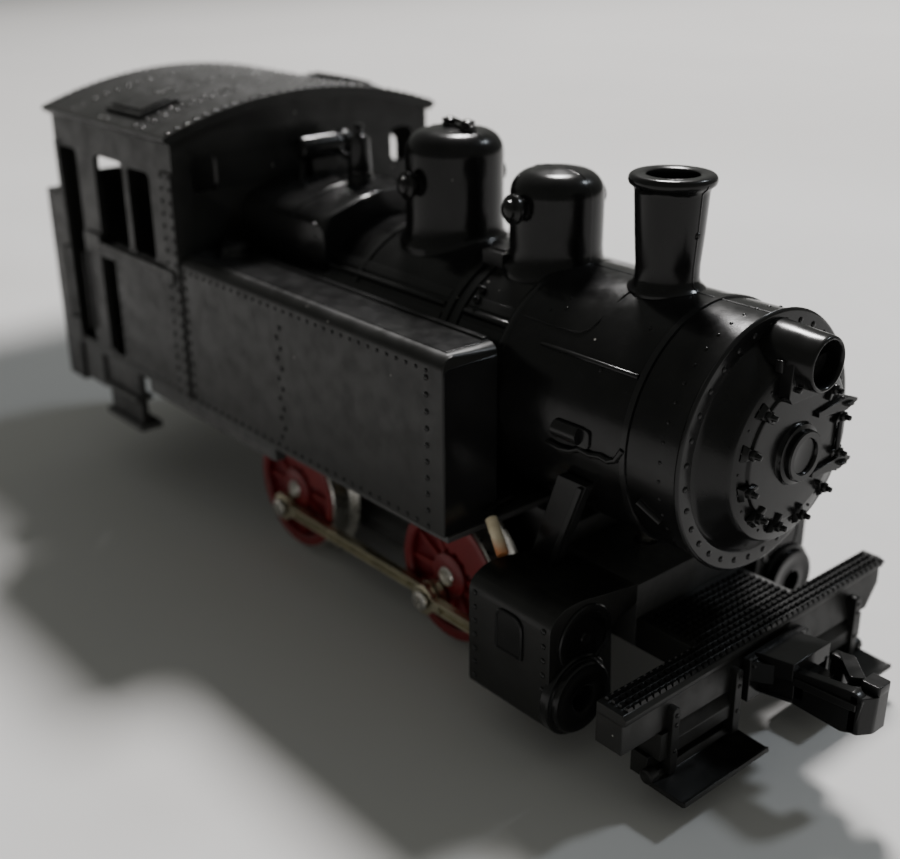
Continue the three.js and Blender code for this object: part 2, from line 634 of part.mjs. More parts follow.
function pilotBeam() {
  const bevel = 0.9;
  const face = prism('x', [
    [-BEAM_HALF, BEAM_BOTTOM + bevel], [-BEAM_HALF + bevel, BEAM_BOTTOM], [BEAM_HALF - bevel, BEAM_BOTTOM],
    [BEAM_HALF, BEAM_BOTTOM + bevel], [BEAM_HALF, DECK_TOP - bevel], [BEAM_HALF - bevel, DECK_TOP],
    [-BEAM_HALF + bevel, DECK_TOP], [-BEAM_HALF, DECK_TOP - bevel],
  ], BEAM_REAR, BEAM_FRONT);
  const recess = block([BEAM_FRONT - 0.25, BEAM_FRONT + 1], [-20, 20], [0, DECK_TOP - 1.1]);
  const deckEnds = [CYLINDER_FRONT + FIT, BEAM_REAR + 0.5];
  const deck = block(deckEnds, [-DECK_HALF, DECK_HALF], [DECK_BOTTOM, DECK_TOP]);
  return joined(cut(face, recess), deck);
}

// A two-rung step that hangs from the beam's face: hangers, a back plate and a trough-shaped tread.
function frontStep(side) {
  const face = BEAM_FRONT - 0.25 + FIT;
  const hangers = [4.2, 11.4].map((y) => {
    const edges = [side * (y - 0.35), side * (y + 0.35)];
    return block([face, face + 0.55], edges, [1.9, 7.4]);
  });
  const plate = block([face, face + 0.4], [side * 3.8, side * 13.0], [3.3, 5.6]);
  const tread = block([face, face + 3.0], [side * 3.4, side * 13.2], [1.3, 1.7]);
  const rear = block([face, face + 0.45], [side * 3.4, side * 13.2], [1.3, 2.4]);
  const lip = block([face + 2.7, face + 3.1], [side * 3.4, side * 13.2], [1.2, 2.0]);
  return joined(...hangers, plate, tread, rear, lip);
}

// The box that a coupler swings in, open at its outer end, with the post the coupler turns on.
function couplerPocket(end, from) {
  const wall = 0.6;
  const to = from + POCKET_LENGTH;
  const box = block([end * from, end * to], [-2.4, 2.4], [COUPLER_Z - 1.7, COUPLER_Z + 1.5]);
  const mouth = [end * (from + wall), end * (to + 1)];
  const post = bar('z', 0.6, COUPLER_Z - 1.5, COUPLER_Z + 1.3, [end * (from + PIVOT_SETBACK), 0, 0], 12);
  return joined(cut(box, block(mouth, [-1.8, 1.8], [COUPLER_Z - 1.1, COUPLER_Z + 0.9])), post);
}

// A hooked coupler: shank, eye round the pocket's post, and a flat-faced head with a side horn.
function coupler(end, from, to) {
  const x = (distance) => end * distance;
  const low = COUPLER_Z - 0.75;
  const high = COUPLER_Z + 0.55;
  const shank = block([x(from + PIVOT_SETBACK), x(to - 4)], [-0.7, 0.7], [low, high]);
  const eyeRing = bar('z', 1.2, low, high, [x(from + PIVOT_SETBACK), 0, 0], 16);
  const head = block([x(to - 5.2), x(to - 0.6)], [-2.6, 1.6], [COUPLER_Z - 2.6, COUPLER_Z + 1.4]);
  const face = block([x(to - 1.6), x(to)], [-1.0, 2.8], [COUPLER_Z - 2.2, COUPLER_Z + 2.0]);
  return cut(joined(shank, eyeRing, head, face), bar('z', 0.85, 0, 20, [x(from + PIVOT_SETBACK), 0, 0], 12));
}

// A short bare-ended wire that pokes out between the tank and the cylinder.
function lampWire() {
  const path = new THREE.CatmullRomCurve3([
    axis(SMOKEBOX_REAR + 0.7, -10.9, FOOTPLATE_TOP - 0.9), axis(18.6, -11.5, 14.7), axis(19.6, -12.1, 14.95),
    axis(21.3, -12.5, 13.6),
  ]);
  const corners = arc(0, 0, 0.55, 0, (Math.PI * 7) / 4, 7);
  const circle = new THREE.Shape(corners.map(([u, v]) => new THREE.Vector2(u, v)));
  return solid(new THREE.ExtrudeGeometry(circle, { steps: 8, extrudePath: path, bevelEnabled: false }));
}

// A springy strip that carries current from the backs of one side's wheels.
function pickupStrip(side) {
  return joined(
    block([-14, 14], [side * 5.05, side * 5.3], [7.6, 8.6]),
    block([-14, -10], [side * 5.05, side * 6.6], [8.4, 8.6]),
    block([10, 14], [side * 5.05, side * 6.6], [8.4, 8.6]),
  );
}

// ---------------------------------------------------------------- finishes
const finishes = {
  black: { color: 0x101012, roughness: 0.3, metalness: 0 },
  satin: { color: 0x1a1a1c, roughness: 0.5, metalness: 0 },
  frame: { color: 0x161616, roughness: 0.6, metalness: 0 },
  red: { color: 0x8e1a22, roughness: 0.4, metalness: 0 },
  steel: { color: 0xb9b6ac, roughness: 0.3, metalness: 1 },
  nickel: { color: 0xb0a47c, roughness: 0.35, metalness: 1 },
  brass: { color: 0xb08d3c, roughness: 0.35, metalness: 1 },
  wire: { color: 0xe2cfa4, roughness: 0.6, metalness: 0 },
};

const locomotive = new THREE.Group();
locomotive.name = 'side_tank_locomotive';

// Adds one named piece, built from a solid.
function add(name, shape, finish, parent = locomotive) {
  const { vertProperties, triVerts, numProp } = shape.getMesh();
  const corners = new Float32Array(triVerts.length * 3);
  triVerts.forEach((vertex, i) => {
    for (let k = 0; k < 3; k += 1) corners[i * 3 + k] = vertProperties[vertex * numProp + k];
  });
  const geometry = new THREE.BufferGeometry();
  geometry.setAttribute('position', new THREE.BufferAttribute(corners, 3));
  geometry.computeVertexNormals();
  const mesh = new THREE.Mesh(geometry, new THREE.MeshStandardMaterial(finishes[finish]));
  mesh.name = name;
  parent.add(mesh);
}

function addWheelset(name, x) {
  const group = new THREE.Group();
  group.name = name;
  locomotive.add(group);
  add(`${name}_axle`, axleBar(x), 'steel', group);
  for (const [side, word] of [[RIGHT, 'right'], [LEFT, 'left']]) {
    add(`${name}_wheel_${word}`, wheelCentre(x, side), 'red', group);
    add(`${name}_tyre_${word}`, tyre(x, side), 'steel', group);
    add(`${name}_crank_pin_${word}`, crankPin(x, side), 'steel', group);
  }
}

const smokeboxDoor = smokeboxFront();
const steamDome = dome(STEAM_DOME_X, 4.12, 42.26);
const casing = fireboxCasing();

add('chassis_frame', chassisFrame(), 'frame');
add('keeper_plate', keeperPlate(), 'frame');
const keeperSeat = KEEPER_BOTTOM + SCREW_HEAD_HEIGHT - FIT;
add('keeper_screw', screw([0, 0, keeperSeat], KEEPER_SCREW_HEAD, KEEPER_SCREW_SHANK, 3.3), 'steel');
add('body_screw', screw([CHIMNEY_X, 0, DECK_BOTTOM - FIT], 1.7, 0.8, 8.6), 'steel');
add('motor_case', motorCase(), 'steel');
add('motor_shaft', motorShaft(), 'steel');
add('worm', worm(), 'brass');
addWheelset('front', FRONT_AXLE_X);
addWheelset('rear', REAR_AXLE_X);
add('axle_gear', axleGear(), 'brass');
add('boiler_shell', boilerShell(), 'black');
add('smokebox_front', smokeboxDoor, 'black');
add('headlight', headlight(smokeboxDoor), 'black');
add('chimney', chimney(), 'black');
add('sand_dome', dome(SAND_DOME_X, 3.63, 40.67), 'black');
add('steam_dome', steamDome, 'black');
add('safety_valves', safetyValves(steamDome), 'black');
add('firebox_casing', casing, 'black');
add('turbo_generator', turboGenerator(casing), 'black');
add('whistle', whistle(casing), 'black');
add('cab_body', cabBody(), 'satin');
add('cab_roof', cabRoof(), 'satin');
add('bunker', bunker(), 'satin');
add('footplate', footplate(), 'frame');
add('pilot_beam', pilotBeam(), 'black');
const frontPocket = BEAM_FRONT + FIT;
const rearPocket = FRAME_TAIL + FIT;
const couplerReach = COUPLER_FRONT - frontPocket;
const rearEnd = -(rearPocket + couplerReach);
add('coupler_pocket_front', couplerPocket(1, frontPocket), 'black');
add('front_coupler', coupler(1, frontPocket, frontPocket + couplerReach), 'black');
add('coupler_pocket_rear', couplerPocket(-1, rearPocket), 'black');
add('rear_coupler', coupler(-1, rearPocket, rearPocket + couplerReach), 'black');
add('lamp_wire', lampWire(), 'wire');
for (const [side, word] of [[RIGHT, 'right'], [LEFT, 'left']]) {
  add(`side_rod_${word}`, sideRod(side), 'nickel');
  add(`main_rod_${word}`, mainRod(side), 'nickel');
  add(`side_tank_${word}`, sideTank(side), 'satin');
  add(`cab_step_${word}`, cabStep(side), 'frame');
  add(`cylinder_block_${word}`, cylinderBlock(side), 'black');
  add(`cylinder_cover_${word}`, cylinderCover(side), 'black');
  add(`smokebox_brace_${word}`, smokeboxBrace(side), 'black');
  add(`front_step_${word}`, frontStep(side), 'black');
  add(`pickup_strip_${word}`, pickupStrip(side), 'brass');
}

locomotive.position.set(-(COUPLER_FRONT + rearEnd) / 2, 0, FLANGE_DEPTH);

export default locomotive;
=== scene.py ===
"""Looks for the small side-tank steam locomotive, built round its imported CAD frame.

Shapes are drawn in millimetres in the locomotive's own frame: +X forward, +Y its left, +Z up, from a point
on the centreline at rail height, midway between the axles. piece() turns them into metres in the frame's
place, so every size below is either read from a CAD node's box or is a small detail's own size.
"""
import math

import bmesh
import bpy
from mathutils import Matrix, Vector
from mathutils.geometry import tessellate_polygon


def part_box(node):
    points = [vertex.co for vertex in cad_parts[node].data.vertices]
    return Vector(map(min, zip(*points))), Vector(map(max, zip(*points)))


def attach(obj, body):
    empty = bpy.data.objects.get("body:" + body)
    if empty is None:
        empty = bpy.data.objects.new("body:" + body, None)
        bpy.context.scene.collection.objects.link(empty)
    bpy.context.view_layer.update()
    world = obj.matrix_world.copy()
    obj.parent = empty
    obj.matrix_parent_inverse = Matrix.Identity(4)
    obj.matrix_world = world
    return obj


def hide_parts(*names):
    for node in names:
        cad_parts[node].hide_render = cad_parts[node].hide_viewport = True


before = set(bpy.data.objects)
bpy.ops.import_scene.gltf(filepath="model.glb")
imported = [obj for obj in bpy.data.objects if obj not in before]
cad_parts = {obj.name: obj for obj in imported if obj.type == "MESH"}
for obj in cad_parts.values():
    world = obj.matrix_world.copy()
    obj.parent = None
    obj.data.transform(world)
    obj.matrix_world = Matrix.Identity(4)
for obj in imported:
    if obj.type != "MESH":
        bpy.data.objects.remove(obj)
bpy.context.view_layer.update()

MM = 0.001
RIGHT, LEFT = -1, 1
SIDES = ((RIGHT, "right"), (LEFT, "left"))
FLANGE_DEPTH = 0.9
SUNK = 0.12  # how far a fitting's foot goes into what it stands on
NEAR = 0.01  # how close a point has to be to count as lying on a face

# ------------------------------------------------------------------ places from the frame
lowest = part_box("front_tyre_right")[0].z
axle_corners = [*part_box("front_axle"), *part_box("rear_axle")]
ORIGIN = Vector((sum(corner.x for corner in axle_corners) / 4, 0.0, lowest + FLANGE_DEPTH * MM))
PLACE = Matrix.Translation(ORIGIN) @ Matrix.Scale(MM, 4)


class Extent:
    """A CAD node's box in the locomotive's frame, in millimetres."""

    def __init__(self, node):
        self.node = node
        low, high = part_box(node)
        self.x0, self.y0, self.z0 = (low - ORIGIN) / MM
        self.x1, self.y1, self.z1 = (high - ORIGIN) / MM
        self.x = (self.x0 + self.x1) / 2
        self.y = (self.y0 + self.y1) / 2
        self.z = (self.z0 + self.z1) / 2
        self.inner = min(abs(self.y0), abs(self.y1))
        self.outer = max(abs(self.y0), abs(self.y1))


BOILER = Extent("boiler_shell")
AXIS_Z = BOILER.z
BAND = 0.14
SMOKEBOX_R = (BOILER.z1 - BOILER.z0) / 2 - BAND
BOILER_R = SMOKEBOX_R - 0.35
CAB = Extent("cab_body")
ROOF = Extent("cab_roof")
TANK = Extent("side_tank_right")
BEAM = Extent("pilot_beam")
CASING = Extent("firebox_casing")
STEAM_DOME = Extent("steam_dome")
SAND_DOME = Extent("sand_dome")
REAR_AXLE = Extent("rear_axle")
SMOKEBOX_REAR = TANK.x1
CYLINDER_FRONT = Extent("cylinder_cover_right").x0 - 0.02
ROOF_SAG = 2.9
HATCH_X = (-35.3, -28.0)
HATCH_Y = (10.0, 14.3)
STUD_PITCH_X, STUD_PITCH_Y = 0.61, 0.68
TYRE_BORE = 5.3
ROD_BORE = 0.8
CAB_WALL = 0.6
LIP_DEPTH = 2.91  # how far the beam's sloped lip reaches back from its front edge
SEAM = 0.07  # radius of a moulding's parting line
DOME_SHIFT = 0.35  # the domes stand this far ahead of their CAD nodes
UNION_Z = 37.75  # height of the pipe unions on the domes

# ------------------------------------------------------------------ edges and shading, angles in degrees
BEVEL_ANGLE = 32  # edges sharper than this are rounded
SHARP_ANGLE = 38  # edges sharper than this stay sharp where nothing is rounded
FLAT_ANGLE = 0.5  # faces closer than this to one plane are joined
FLAT_FACE_WEIGHT = 60  # how far large flat faces rule the shading
WELD_GAP = 0.002


# ------------------------------------------------------------------ outlines
def arc(u, v, radius, start, end, steps=6):
    """Points of an arc about (u, v); angles in degrees."""
    points = []
    for i in range(steps + 1):
        angle = math.radians(start + (end - start) * i / steps)
        points.append((u + radius * math.cos(angle), v + radius * math.sin(angle)))
    return points


def rounded(outline, radius, steps=4):
    """The outline with its corners rounded; radius is one number or one for each corner."""
    count = len(outline)
    radii = radius if isinstance(radius, (list, tuple)) else [radius] * count
    points = []
    for i, here in enumerate(outline):
        corner = Vector(here)
        before = Vector(outline[i - 1]) - corner
        after = Vector(outline[(i + 1) % count]) - corner
        reach = min(radii[i], before.length * 0.48, after.length * 0.48)
        if reach < 0.01:
            points.append(tuple(corner))
            continue
        start = corner + before.normalized() * reach
        end = corner + after.normalized() * reach
        for k in range(steps + 1):
            t = k / steps
            points.append(tuple(start * (1 - t) ** 2 + corner * 2 * t * (1 - t) + end * t * t))
    return points


def rectangle(u0, u1, v0, v1):
    """A rectangle's corners."""
    return [(u0, v0), (u1, v0), (u1, v1), (u0, v1)]


def circle(u, v, radius, steps=24):
    """A whole circle, its first point not repeated."""
    return arc(u, v, radius, 0, 360 - 360 / steps, steps - 1)


def flipped(side, outline):
    """The outline, mirrored for the right-hand side."""
    return [(side * u, v) for u, v in outline]


def offset(base, pairs):
    """A turned profile's (radius, distance) pairs, with base added to every distance."""
    return [(radius, base + distance) for radius, distance in pairs]


def mirrored(side, pairs):
    """A turned profile's pairs, with the distances measured towards the given side."""
    return [(radius, side * distance) for radius, distance in pairs]


# ------------------------------------------------------------------ solids, added to a bmesh
PLANES = {
    "x": (Vector((0, 1, 0)), Vector((0, 0, 1)), Vector((1, 0, 0))),
    "y": (Vector((1, 0, 0)), Vector((0, 0, 1)), Vector((0, 1, 0))),
    "z": (Vector((1, 0, 0)), Vector((0, 1, 0)), Vector((0, 0, 1))),
}


def ring(middle, across, up, radius, sides):
    """Points of a circle, or only its middle if it has no radius."""
    if radius < 1e-6:
        return [middle]
    angles = [2 * math.pi * k / sides for k in range(sides)]
    return [middle + (across * math.cos(a) + up * math.sin(a)) * radius for a in angles]


def join_rings(bm, pairs, sides):
    """Faces between each pair of rings; a ring of one point is the tip of a cone."""
    for here, there in pairs:
        for i in range(sides):
            j = (i + 1) % sides
            a, b = here[i % len(here)], here[j % len(here)]
            c, d = there[j % len(there)], there[i % len(there)]
            bm.faces.new(list(dict.fromkeys((a, b, c, d))))


def lathe(bm, along, centre, profile, sides=64, bend=None):
    """A solid of revolution about a line along x, y or z. The profile is (radius, distance) pairs."""
    across, up, axis = PLANES[along]
    rings = []
    for radius, distance in profile:
        points = ring(Vector(centre) + axis * distance, across, up, radius, sides)
        if bend:
            points = [bend(point) for point in points]
        rings.append([bm.verts.new(point) for point in points])
    pairs = list(zip(rings, rings[1:]))
    if len(rings[0]) > 1 and len(rings[-1]) > 1:
        pairs.append((rings[-1], rings[0]))
    join_rings(bm, pairs, sides)


def prism(bm, along, outline, low, high, holes=()):
    """A plate across x, y or z: an outline, less any holes, filled from one distance to the other."""
    across, up, axis = PLANES[along]
    loops = [outline, *holes]
    flat = [[Vector((u, v, 0)) for u, v in loop] for loop in loops]
    triangles = tessellate_polygon(flat)
    layers = []
    for distance in (low, high):
        points = [across * u + up * v + axis * distance for loop in loops for u, v in loop]
        layers.append([bm.verts.new(point) for point in points])
    for layer in layers:
        if len(loops) == 1:
            bm.faces.new(layer)
        else:
            for a, b, c in triangles:
                bm.faces.new((layer[a], layer[b], layer[c]))
    first = 0
    for loop in loops:
        for i in range(len(loop)):
            a = first + i
            b = first + (i + 1) % len(loop)
            bm.faces.new((layers[0][a], layers[0][b], layers[1][b], layers[1][a]))
        first += len(loop)


def box(bm, x, y, z):
    """A block between [low, high] pairs along each axis."""
    prism(bm, "z", rectangle(min(x), max(x), min(y), max(y)), min(z), max(z))


def frustum(bm, low, high):
    """A solid between two loops of points."""
    feet = [bm.verts.new(point) for point in low]
    tops = [bm.verts.new(point) for point in high]
    bm.faces.new(feet)
    bm.faces.new(tops)
    for i in range(len(feet)):
        j = (i + 1) % len(feet)
        bm.faces.new((feet[i], feet[j], tops[j], tops[i]))


def tube(bm, points, radius, sides=10):
    """A round bar along a line of points."""
    path = [Vector(point) for point in points]
    side = (path[1] - path[0]).orthogonal().normalized()
    rings = []
    for i, here in enumerate(path):
        ahead = (path[min(i + 1, len(path) - 1)] - path[max(i - 1, 0)]).normalized()
        side = (side - ahead * side.dot(ahead)).normalized()
        rings.append([bm.verts.new(point) for point in ring(here, side, ahead.cross(side), radius, sides)])
    join_rings(bm, zip(rings, rings[1:]), sides)
    bm.faces.new(rings[0])
    bm.faces.new(rings[-1])


def stud(bm, at, normal, profile, sides=10):
    """A small turned fitting standing on a surface; the profile is (radius, height) pairs."""
    out = Vector(normal).normalized()
    across = out.orthogonal().normalized()
    up = out.cross(across)
    rings = []
    for radius, height in profile:
        points = ring(Vector(at) + out * height, across, up, radius, sides)
        rings.append([bm.verts.new(point) for point in points])
    join_rings(bm, zip(rings, rings[1:]), sides)


RIVET = ((0, -0.05), (1, -0.05), (0.92, 0.22), (0.62, 0.45), (0, 0.6))


def rivet(bm, at, normal, radius=0.17):
    """A round-headed rivet."""
    profile = [(radius * r, h if h < 0 else radius * h) for r, h in RIVET]
    stud(bm, at, normal, profile, 8)


def rivet_row(bm, start, end, normal, pitch, radius=0.17):
    """Rivets from start to end, as near to the pitch as fits."""
    first, last = Vector(start), Vector(end)
    count = max(1, round((last - first).length / pitch))
    for i in range(count + 1):
        rivet(bm, first.lerp(last, i / count), normal, radius)


def round_edges(bm, chosen, width, segments=4):
    """Rounds the edges whose two ends both satisfy chosen(point)."""
    edges = [e for e in bm.edges if all(chosen(v.co) for v in e.verts)]
    bmesh.ops.bevel(bm, geom=edges, offset=width, segments=segments, profile=0.5, affect="EDGES")


# ------------------------------------------------------------------ on the boiler
def barrel_radius(x):
    """The radius of the boiler or of the wider smokebox."""
    return SMOKEBOX_R if x >= SMOKEBOX_REAR else BOILER_R


def around(x, angle, lift=0.0, radius=None):
    """A point on the boiler, its angle in degrees from the top towards the right-hand side."""
    reach = (barrel_radius(x) if radius is None else radius) + lift
    turn = math.radians(angle)
    return Vector((x, -reach * math.sin(turn), AXIS_Z + reach * math.cos(turn)))


def outward(angle):
    """The direction the boiler's surface faces at an angle."""
    return around(0, angle, 1) - around(0, angle)


def patch(bm, x0, x1, start, end, lift):
    """A raised strip that follows the boiler between two angles."""
    steps = max(2, round(abs(end - start) / 4))
    base = barrel_radius((x0 + x1) / 2)
    rows = []
    for x in (x0, x1):
        for reach in (lift, -SUNK):
            angles = [start + (end - start) * k / steps for k in range(steps + 1)]
            rows.append([bm.verts.new(around(x, a, reach, base)) for a in angles])
    rear_top, rear_foot, front_top, front_foot = rows
    for here, there in ((rear_top, front_top), (front_top, front_foot), (front_foot, rear_foot),
                        (rear_foot, rear_top)):
        for k in range(steps):
            bm.faces.new((here[k], here[k + 1], there[k + 1], there[k]))
    for k in (0, steps):
        bm.faces.new((rear_top[k], front_top[k], front_foot[k], rear_foot[k]))


def saddle_bend(foot_height):
    """Lowers a turned fitting's foot so that it follows the boiler, fading out at foot_height."""
    crown = AXIS_Z + BOILER_R

    def bend(point):
        share = max(0.0, min(1.0, (crown + foot_height - point.z) / (foot_height + 0.6)))
        drop = SMOKEBOX_R - math.sqrt(max(0.0, SMOKEBOX_R ** 2 - point.y ** 2))
        return Vector((point.x, point.y, point.z - drop * share))

    return bend


# ------------------------------------------------------------------ pieces
def placed(name, data):
    """A new object, linked into the scene."""
    obj = bpy.data.objects.new(name, data)
    bpy.context.scene.collection.objects.link(obj)
    return obj


def meshed(name, bm):
    """A mesh made from a bmesh, which is used up."""
    mesh = bpy.data.meshes.new(name)
    bm.to_mesh(mesh)
    bm.free()
    return mesh


def crisp(obj, bevel, segments=3):
    """Small rounded edges on a hard-edged mesh, with clean shading."""
    if bevel:
        edge = obj.modifiers.new("edges", "BEVEL")
        edge.width = bevel * MM
        edge.segments = segments
        edge.limit_method = "ANGLE"
        edge.angle_limit = math.radians(BEVEL_ANGLE)
        edge.miter_outer = "MITER_ARC"
    normals = obj.modifiers.new("shading", "WEIGHTED_NORMAL")
    normals.keep_sharp = True
    normals.weight = FLAT_FACE_WEIGHT


def piece(name, bm, finish="gloss_black", body="chassis", stands_for=None, bevel=0.0, segments=3):
    """Turns a bmesh in millimetres into an object on a body, which may replace a CAD node."""
    bmesh.ops.recalc_face_normals(bm, faces=bm.faces[:])
    mesh = meshed(name, bm)
    mesh.transform(PLACE)
    mesh.shade_smooth()
    if not bevel:
        mesh.set_sharp_from_angle(angle=math.radians(SHARP_ANGLE))
    obj = placed(name, mesh)
    crisp(obj, bevel, segments)
    obj.data.materials.append(FINISHES[finish])
    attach(obj, body)
    if stands_for:
        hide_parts(stands_for)


def keep(node, finish, bevel=0.06):
    """Keeps a CAD node as it is, with softened edges and a finish."""
    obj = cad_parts[node]
    weld = obj.modifiers.new("weld", "WELD")
    weld.merge_threshold = WELD_GAP * MM
    flat = obj.modifiers.new("flat", "DECIMATE")
    flat.decimate_type = "DISSOLVE"
    flat.angle_limit = math.radians(FLAT_ANGLE)
    obj.data.shade_smooth()
    crisp(obj, bevel, 2)
    obj.data.materials.clear()
    obj.data.materials.append(FINISHES[finish])


def carve(bm, cutter):
    """Cuts one bmesh out of another and returns the result."""
    parts = []
    for name, shape in (("carved", bm), ("cutter", cutter)):
        bmesh.ops.recalc_face_normals(shape, faces=shape.faces[:])
        parts.append(placed(name, meshed(name, shape)))
    carved, tool = parts
    change = carved.modifiers.new("cut", "BOOLEAN")
    change.operation = "DIFFERENCE"
    change.object = tool
    change.solver = "EXACT"
    depsgraph = bpy.context.evaluated_depsgraph_get()
    result = bmesh.new()
    result.from_mesh(carved.evaluated_get(depsgraph).to_mesh())
    for obj in parts:
        bpy.data.objects.remove(obj)
    return result


# ------------------------------------------------------------------ materials
class Graph:
    """A material's nodes."""

    def __init__(self, name):
        self.material = bpy.data.materials.new(name)
        self.material.use_nodes = True
        self.tree = self.material.node_tree
        self.shader = self.tree.nodes["Principled BSDF"]
        self.place = self.add("ShaderNodeTexCoord").outputs["Object"]

    def add(self, kind, options=None, **inputs):
        """Makes a node, sets its options and gives or links its inputs."""
        node = self.tree.nodes.new(kind)
        for key, value in (options or {}).items():
            setattr(node, key, value)
        for key, value in inputs.items():
            self.set(node.inputs[key.replace("_", " ")], value)
        return node

    def set(self, socket, value):
        """Links a socket, or gives it a plain value."""
        if isinstance(value, bpy.types.NodeSocket):
            self.tree.links.new(value, socket)
        else:
            socket.default_value = value

    def noise(self, size_mm, detail=3.0, stretch=None):
        """Noise whose features are about size_mm across, from 0 to 1."""
        place = self.place
        if stretch:
            mapping = self.add("ShaderNodeMapping", Vector=place, Scale=stretch)
            place = mapping.outputs["Vector"]
        node = self.add("ShaderNodeTexNoise", Vector=place, Scale=1 / (size_mm * MM), Detail=detail)
        return node.outputs["Fac"]

    def specks(self, spacing_mm, radius_mm):
        """1 inside a few small round spots, 0 elsewhere."""
        scale = 1 / (spacing_mm * MM)
        cells = self.add("ShaderNodeTexVoronoi", Vector=self.place, Scale=scale)
        spot = self.ramp(cells.outputs["Distance"], radius_mm / spacing_mm, 0.8 * radius_mm / spacing_mm)
        pick = self.add("ShaderNodeSeparateColor", Color=cells.outputs["Color"]).outputs[0]
        return self.times(spot, self.ramp(pick, 0.86, 0.87))

    def ramp(self, value, low, high, out_low=0.0, out_high=1.0):
        """Maps low..high to out_low..out_high, clamped at both ends."""
        node = self.add("ShaderNodeMapRange", Value=value)
        for key, number in (("From Min", low), ("From Max", high), ("To Min", out_low),
                            ("To Max", out_high)):
            node.inputs[key].default_value = number
        return node.outputs["Result"]

    def times(self, a, b):
        """The product of two values."""
        node = self.add("ShaderNodeMath", {"operation": "MULTIPLY"})
        self.set(node.inputs[0], a)
        self.set(node.inputs[1], b)
        return node.outputs[0]

    def mix(self, share, a, b):
        """Colour a where share is 0, b where it is 1."""
        node = self.add("ShaderNodeMix", {"data_type": "RGBA"})
        self.set(node.inputs["Factor"], share)
        self.set(node.inputs[6], a)
        self.set(node.inputs[7], b)
        return node.outputs[2]

    def bump(self, height, distance_mm, strength=1.0, under=None):
        """Bumps of the given depth, over those of under."""
        node = self.add("ShaderNodeBump", Height=height, Strength=strength, Distance=distance_mm * MM)
        if under is not None:
            self.set(node.inputs["Normal"], under)
        return node.outputs["Normal"]

    def edges(self, low=0.505, high=0.56):
        """1 on the outer edges of a shape, 0 on its flats."""
        return self.ramp(self.add("ShaderNodeNewGeometry").outputs["Pointiness"], low, high)

    def finish(self, **inputs):
        """Sets the shader and returns the material."""
        for key, value in inputs.items():
            self.set(self.shader.inputs[key.replace("_", " ")], value)
        return self.material


def shade(color, factor):
    """An opaque colour, darkened or lightened."""
    return (*[min(1.0, c * factor) for c in color], 1.0)


def black_plastic(name, color, roughness, peel, dust, sheen):
    """Moulded black plastic: faint mottling, orange peel, polished edges and a little settled dust."""
    g = Graph(name)
    body = g.mix(g.ramp(g.noise(6.0), 0.35, 0.65), shade(color, 0.75), shade(color, 1.3))
    scuffs = g.ramp(g.noise(0.9, 6.0, (1.0, 4.0, 1.0)), 0.60, 0.72)
    rubbed = g.mix(g.times(scuffs, 0.18), body, shade(color, 3.0))
    worn = g.mix(g.times(g.edges(), 0.35), rubbed, shade(color, 4.0))
    up = g.add("ShaderNodeSeparateXYZ", Vector=g.add("ShaderNodeNewGeometry").outputs["Normal"]).outputs["Z"]
    settled = g.times(g.ramp(up, 0.1, 1.0), g.ramp(g.noise(2.5, 5.0), 0.42, 0.75))
    film = g.mix(g.times(settled, dust), worn, (0.22, 0.21, 0.2, 1.0))
    coat = g.mix(g.specks(1.7, 0.1), film, (0.32, 0.31, 0.29, 1.0))
    grain = g.ramp(g.noise(1.6, 4.0), 0.3, 0.7, roughness * 0.75, roughness * 1.25)
    rough = g.add("ShaderNodeMath", {"operation": "MULTIPLY_ADD"})
    for socket, value in zip(rough.inputs, (settled, dust * 0.8, grain)):
        g.set(socket, value)
    wave = g.bump(g.noise(3.5, 2.0), 0.05, 0.35)
    skin = g.bump(g.noise(0.35, 3.0), 0.01, peel, wave)
    return g.finish(Base_Color=coat, Roughness=rough.outputs[0], Normal=skin, Specular_IOR_Level=sheen)


def cast_black(name):
    """Blackened cast metal, matt and slightly grainy."""
    g = Graph(name)
    body = g.mix(g.ramp(g.noise(2.0, 6.0), 0.35, 0.65), (0.010, 0.010, 0.010, 1), (0.026, 0.025, 0.024, 1))
    worn = g.mix(g.times(g.edges(), 0.5), body, (0.10, 0.10, 0.10, 1))
    rough = g.ramp(g.noise(0.8, 4.0), 0.3, 0.7, 0.42, 0.68)
    return g.finish(Base_Color=worn, Roughness=rough, Normal=g.bump(g.noise(0.3, 5.0), 0.03, 0.6))


def red_plastic(name):
    """Dark red moulded wheel centres, lighter where their edges are rubbed."""
    g = Graph(name)
    body = g.mix(g.ramp(g.noise(3.0), 0.3, 0.7), (0.11, 0.003, 0.007, 1), (0.17, 0.007, 0.011, 1))
    worn = g.mix(g.times(g.edges(), 0.4), body, (0.3, 0.03, 0.03, 1))
    rough = g.ramp(g.noise(0.9, 4.0), 0.3, 0.7, 0.3, 0.48)
    return g.finish(Base_Color=worn, Roughness=rough, Normal=g.bump(g.noise(0.4, 3.0), 0.015, 0.5), IOR=1.5)


def metal(name, dark, light, roughness, lines=(1.0, 1.0, 1.0)):
    """Turned or stamped metal: tarnish in patches, fine machining lines and brighter edges."""
    g = Graph(name)
    tarnish = g.mix(g.ramp(g.noise(1.8, 5.0), 0.35, 0.65), shade(dark, 1.0), shade(light, 1.0))
    bright = g.mix(g.times(g.edges(), 0.5), tarnish, shade(light, 1.35))
    rough = g.ramp(g.noise(0.7, 5.0), 0.3, 0.7, roughness * 0.7, roughness * 1.4)
    skin = g.bump(g.noise(0.25, 4.0, lines), 0.01, 0.5)
    return g.finish(Base_Color=bright, Roughness=rough, Normal=skin, Metallic=1.0)


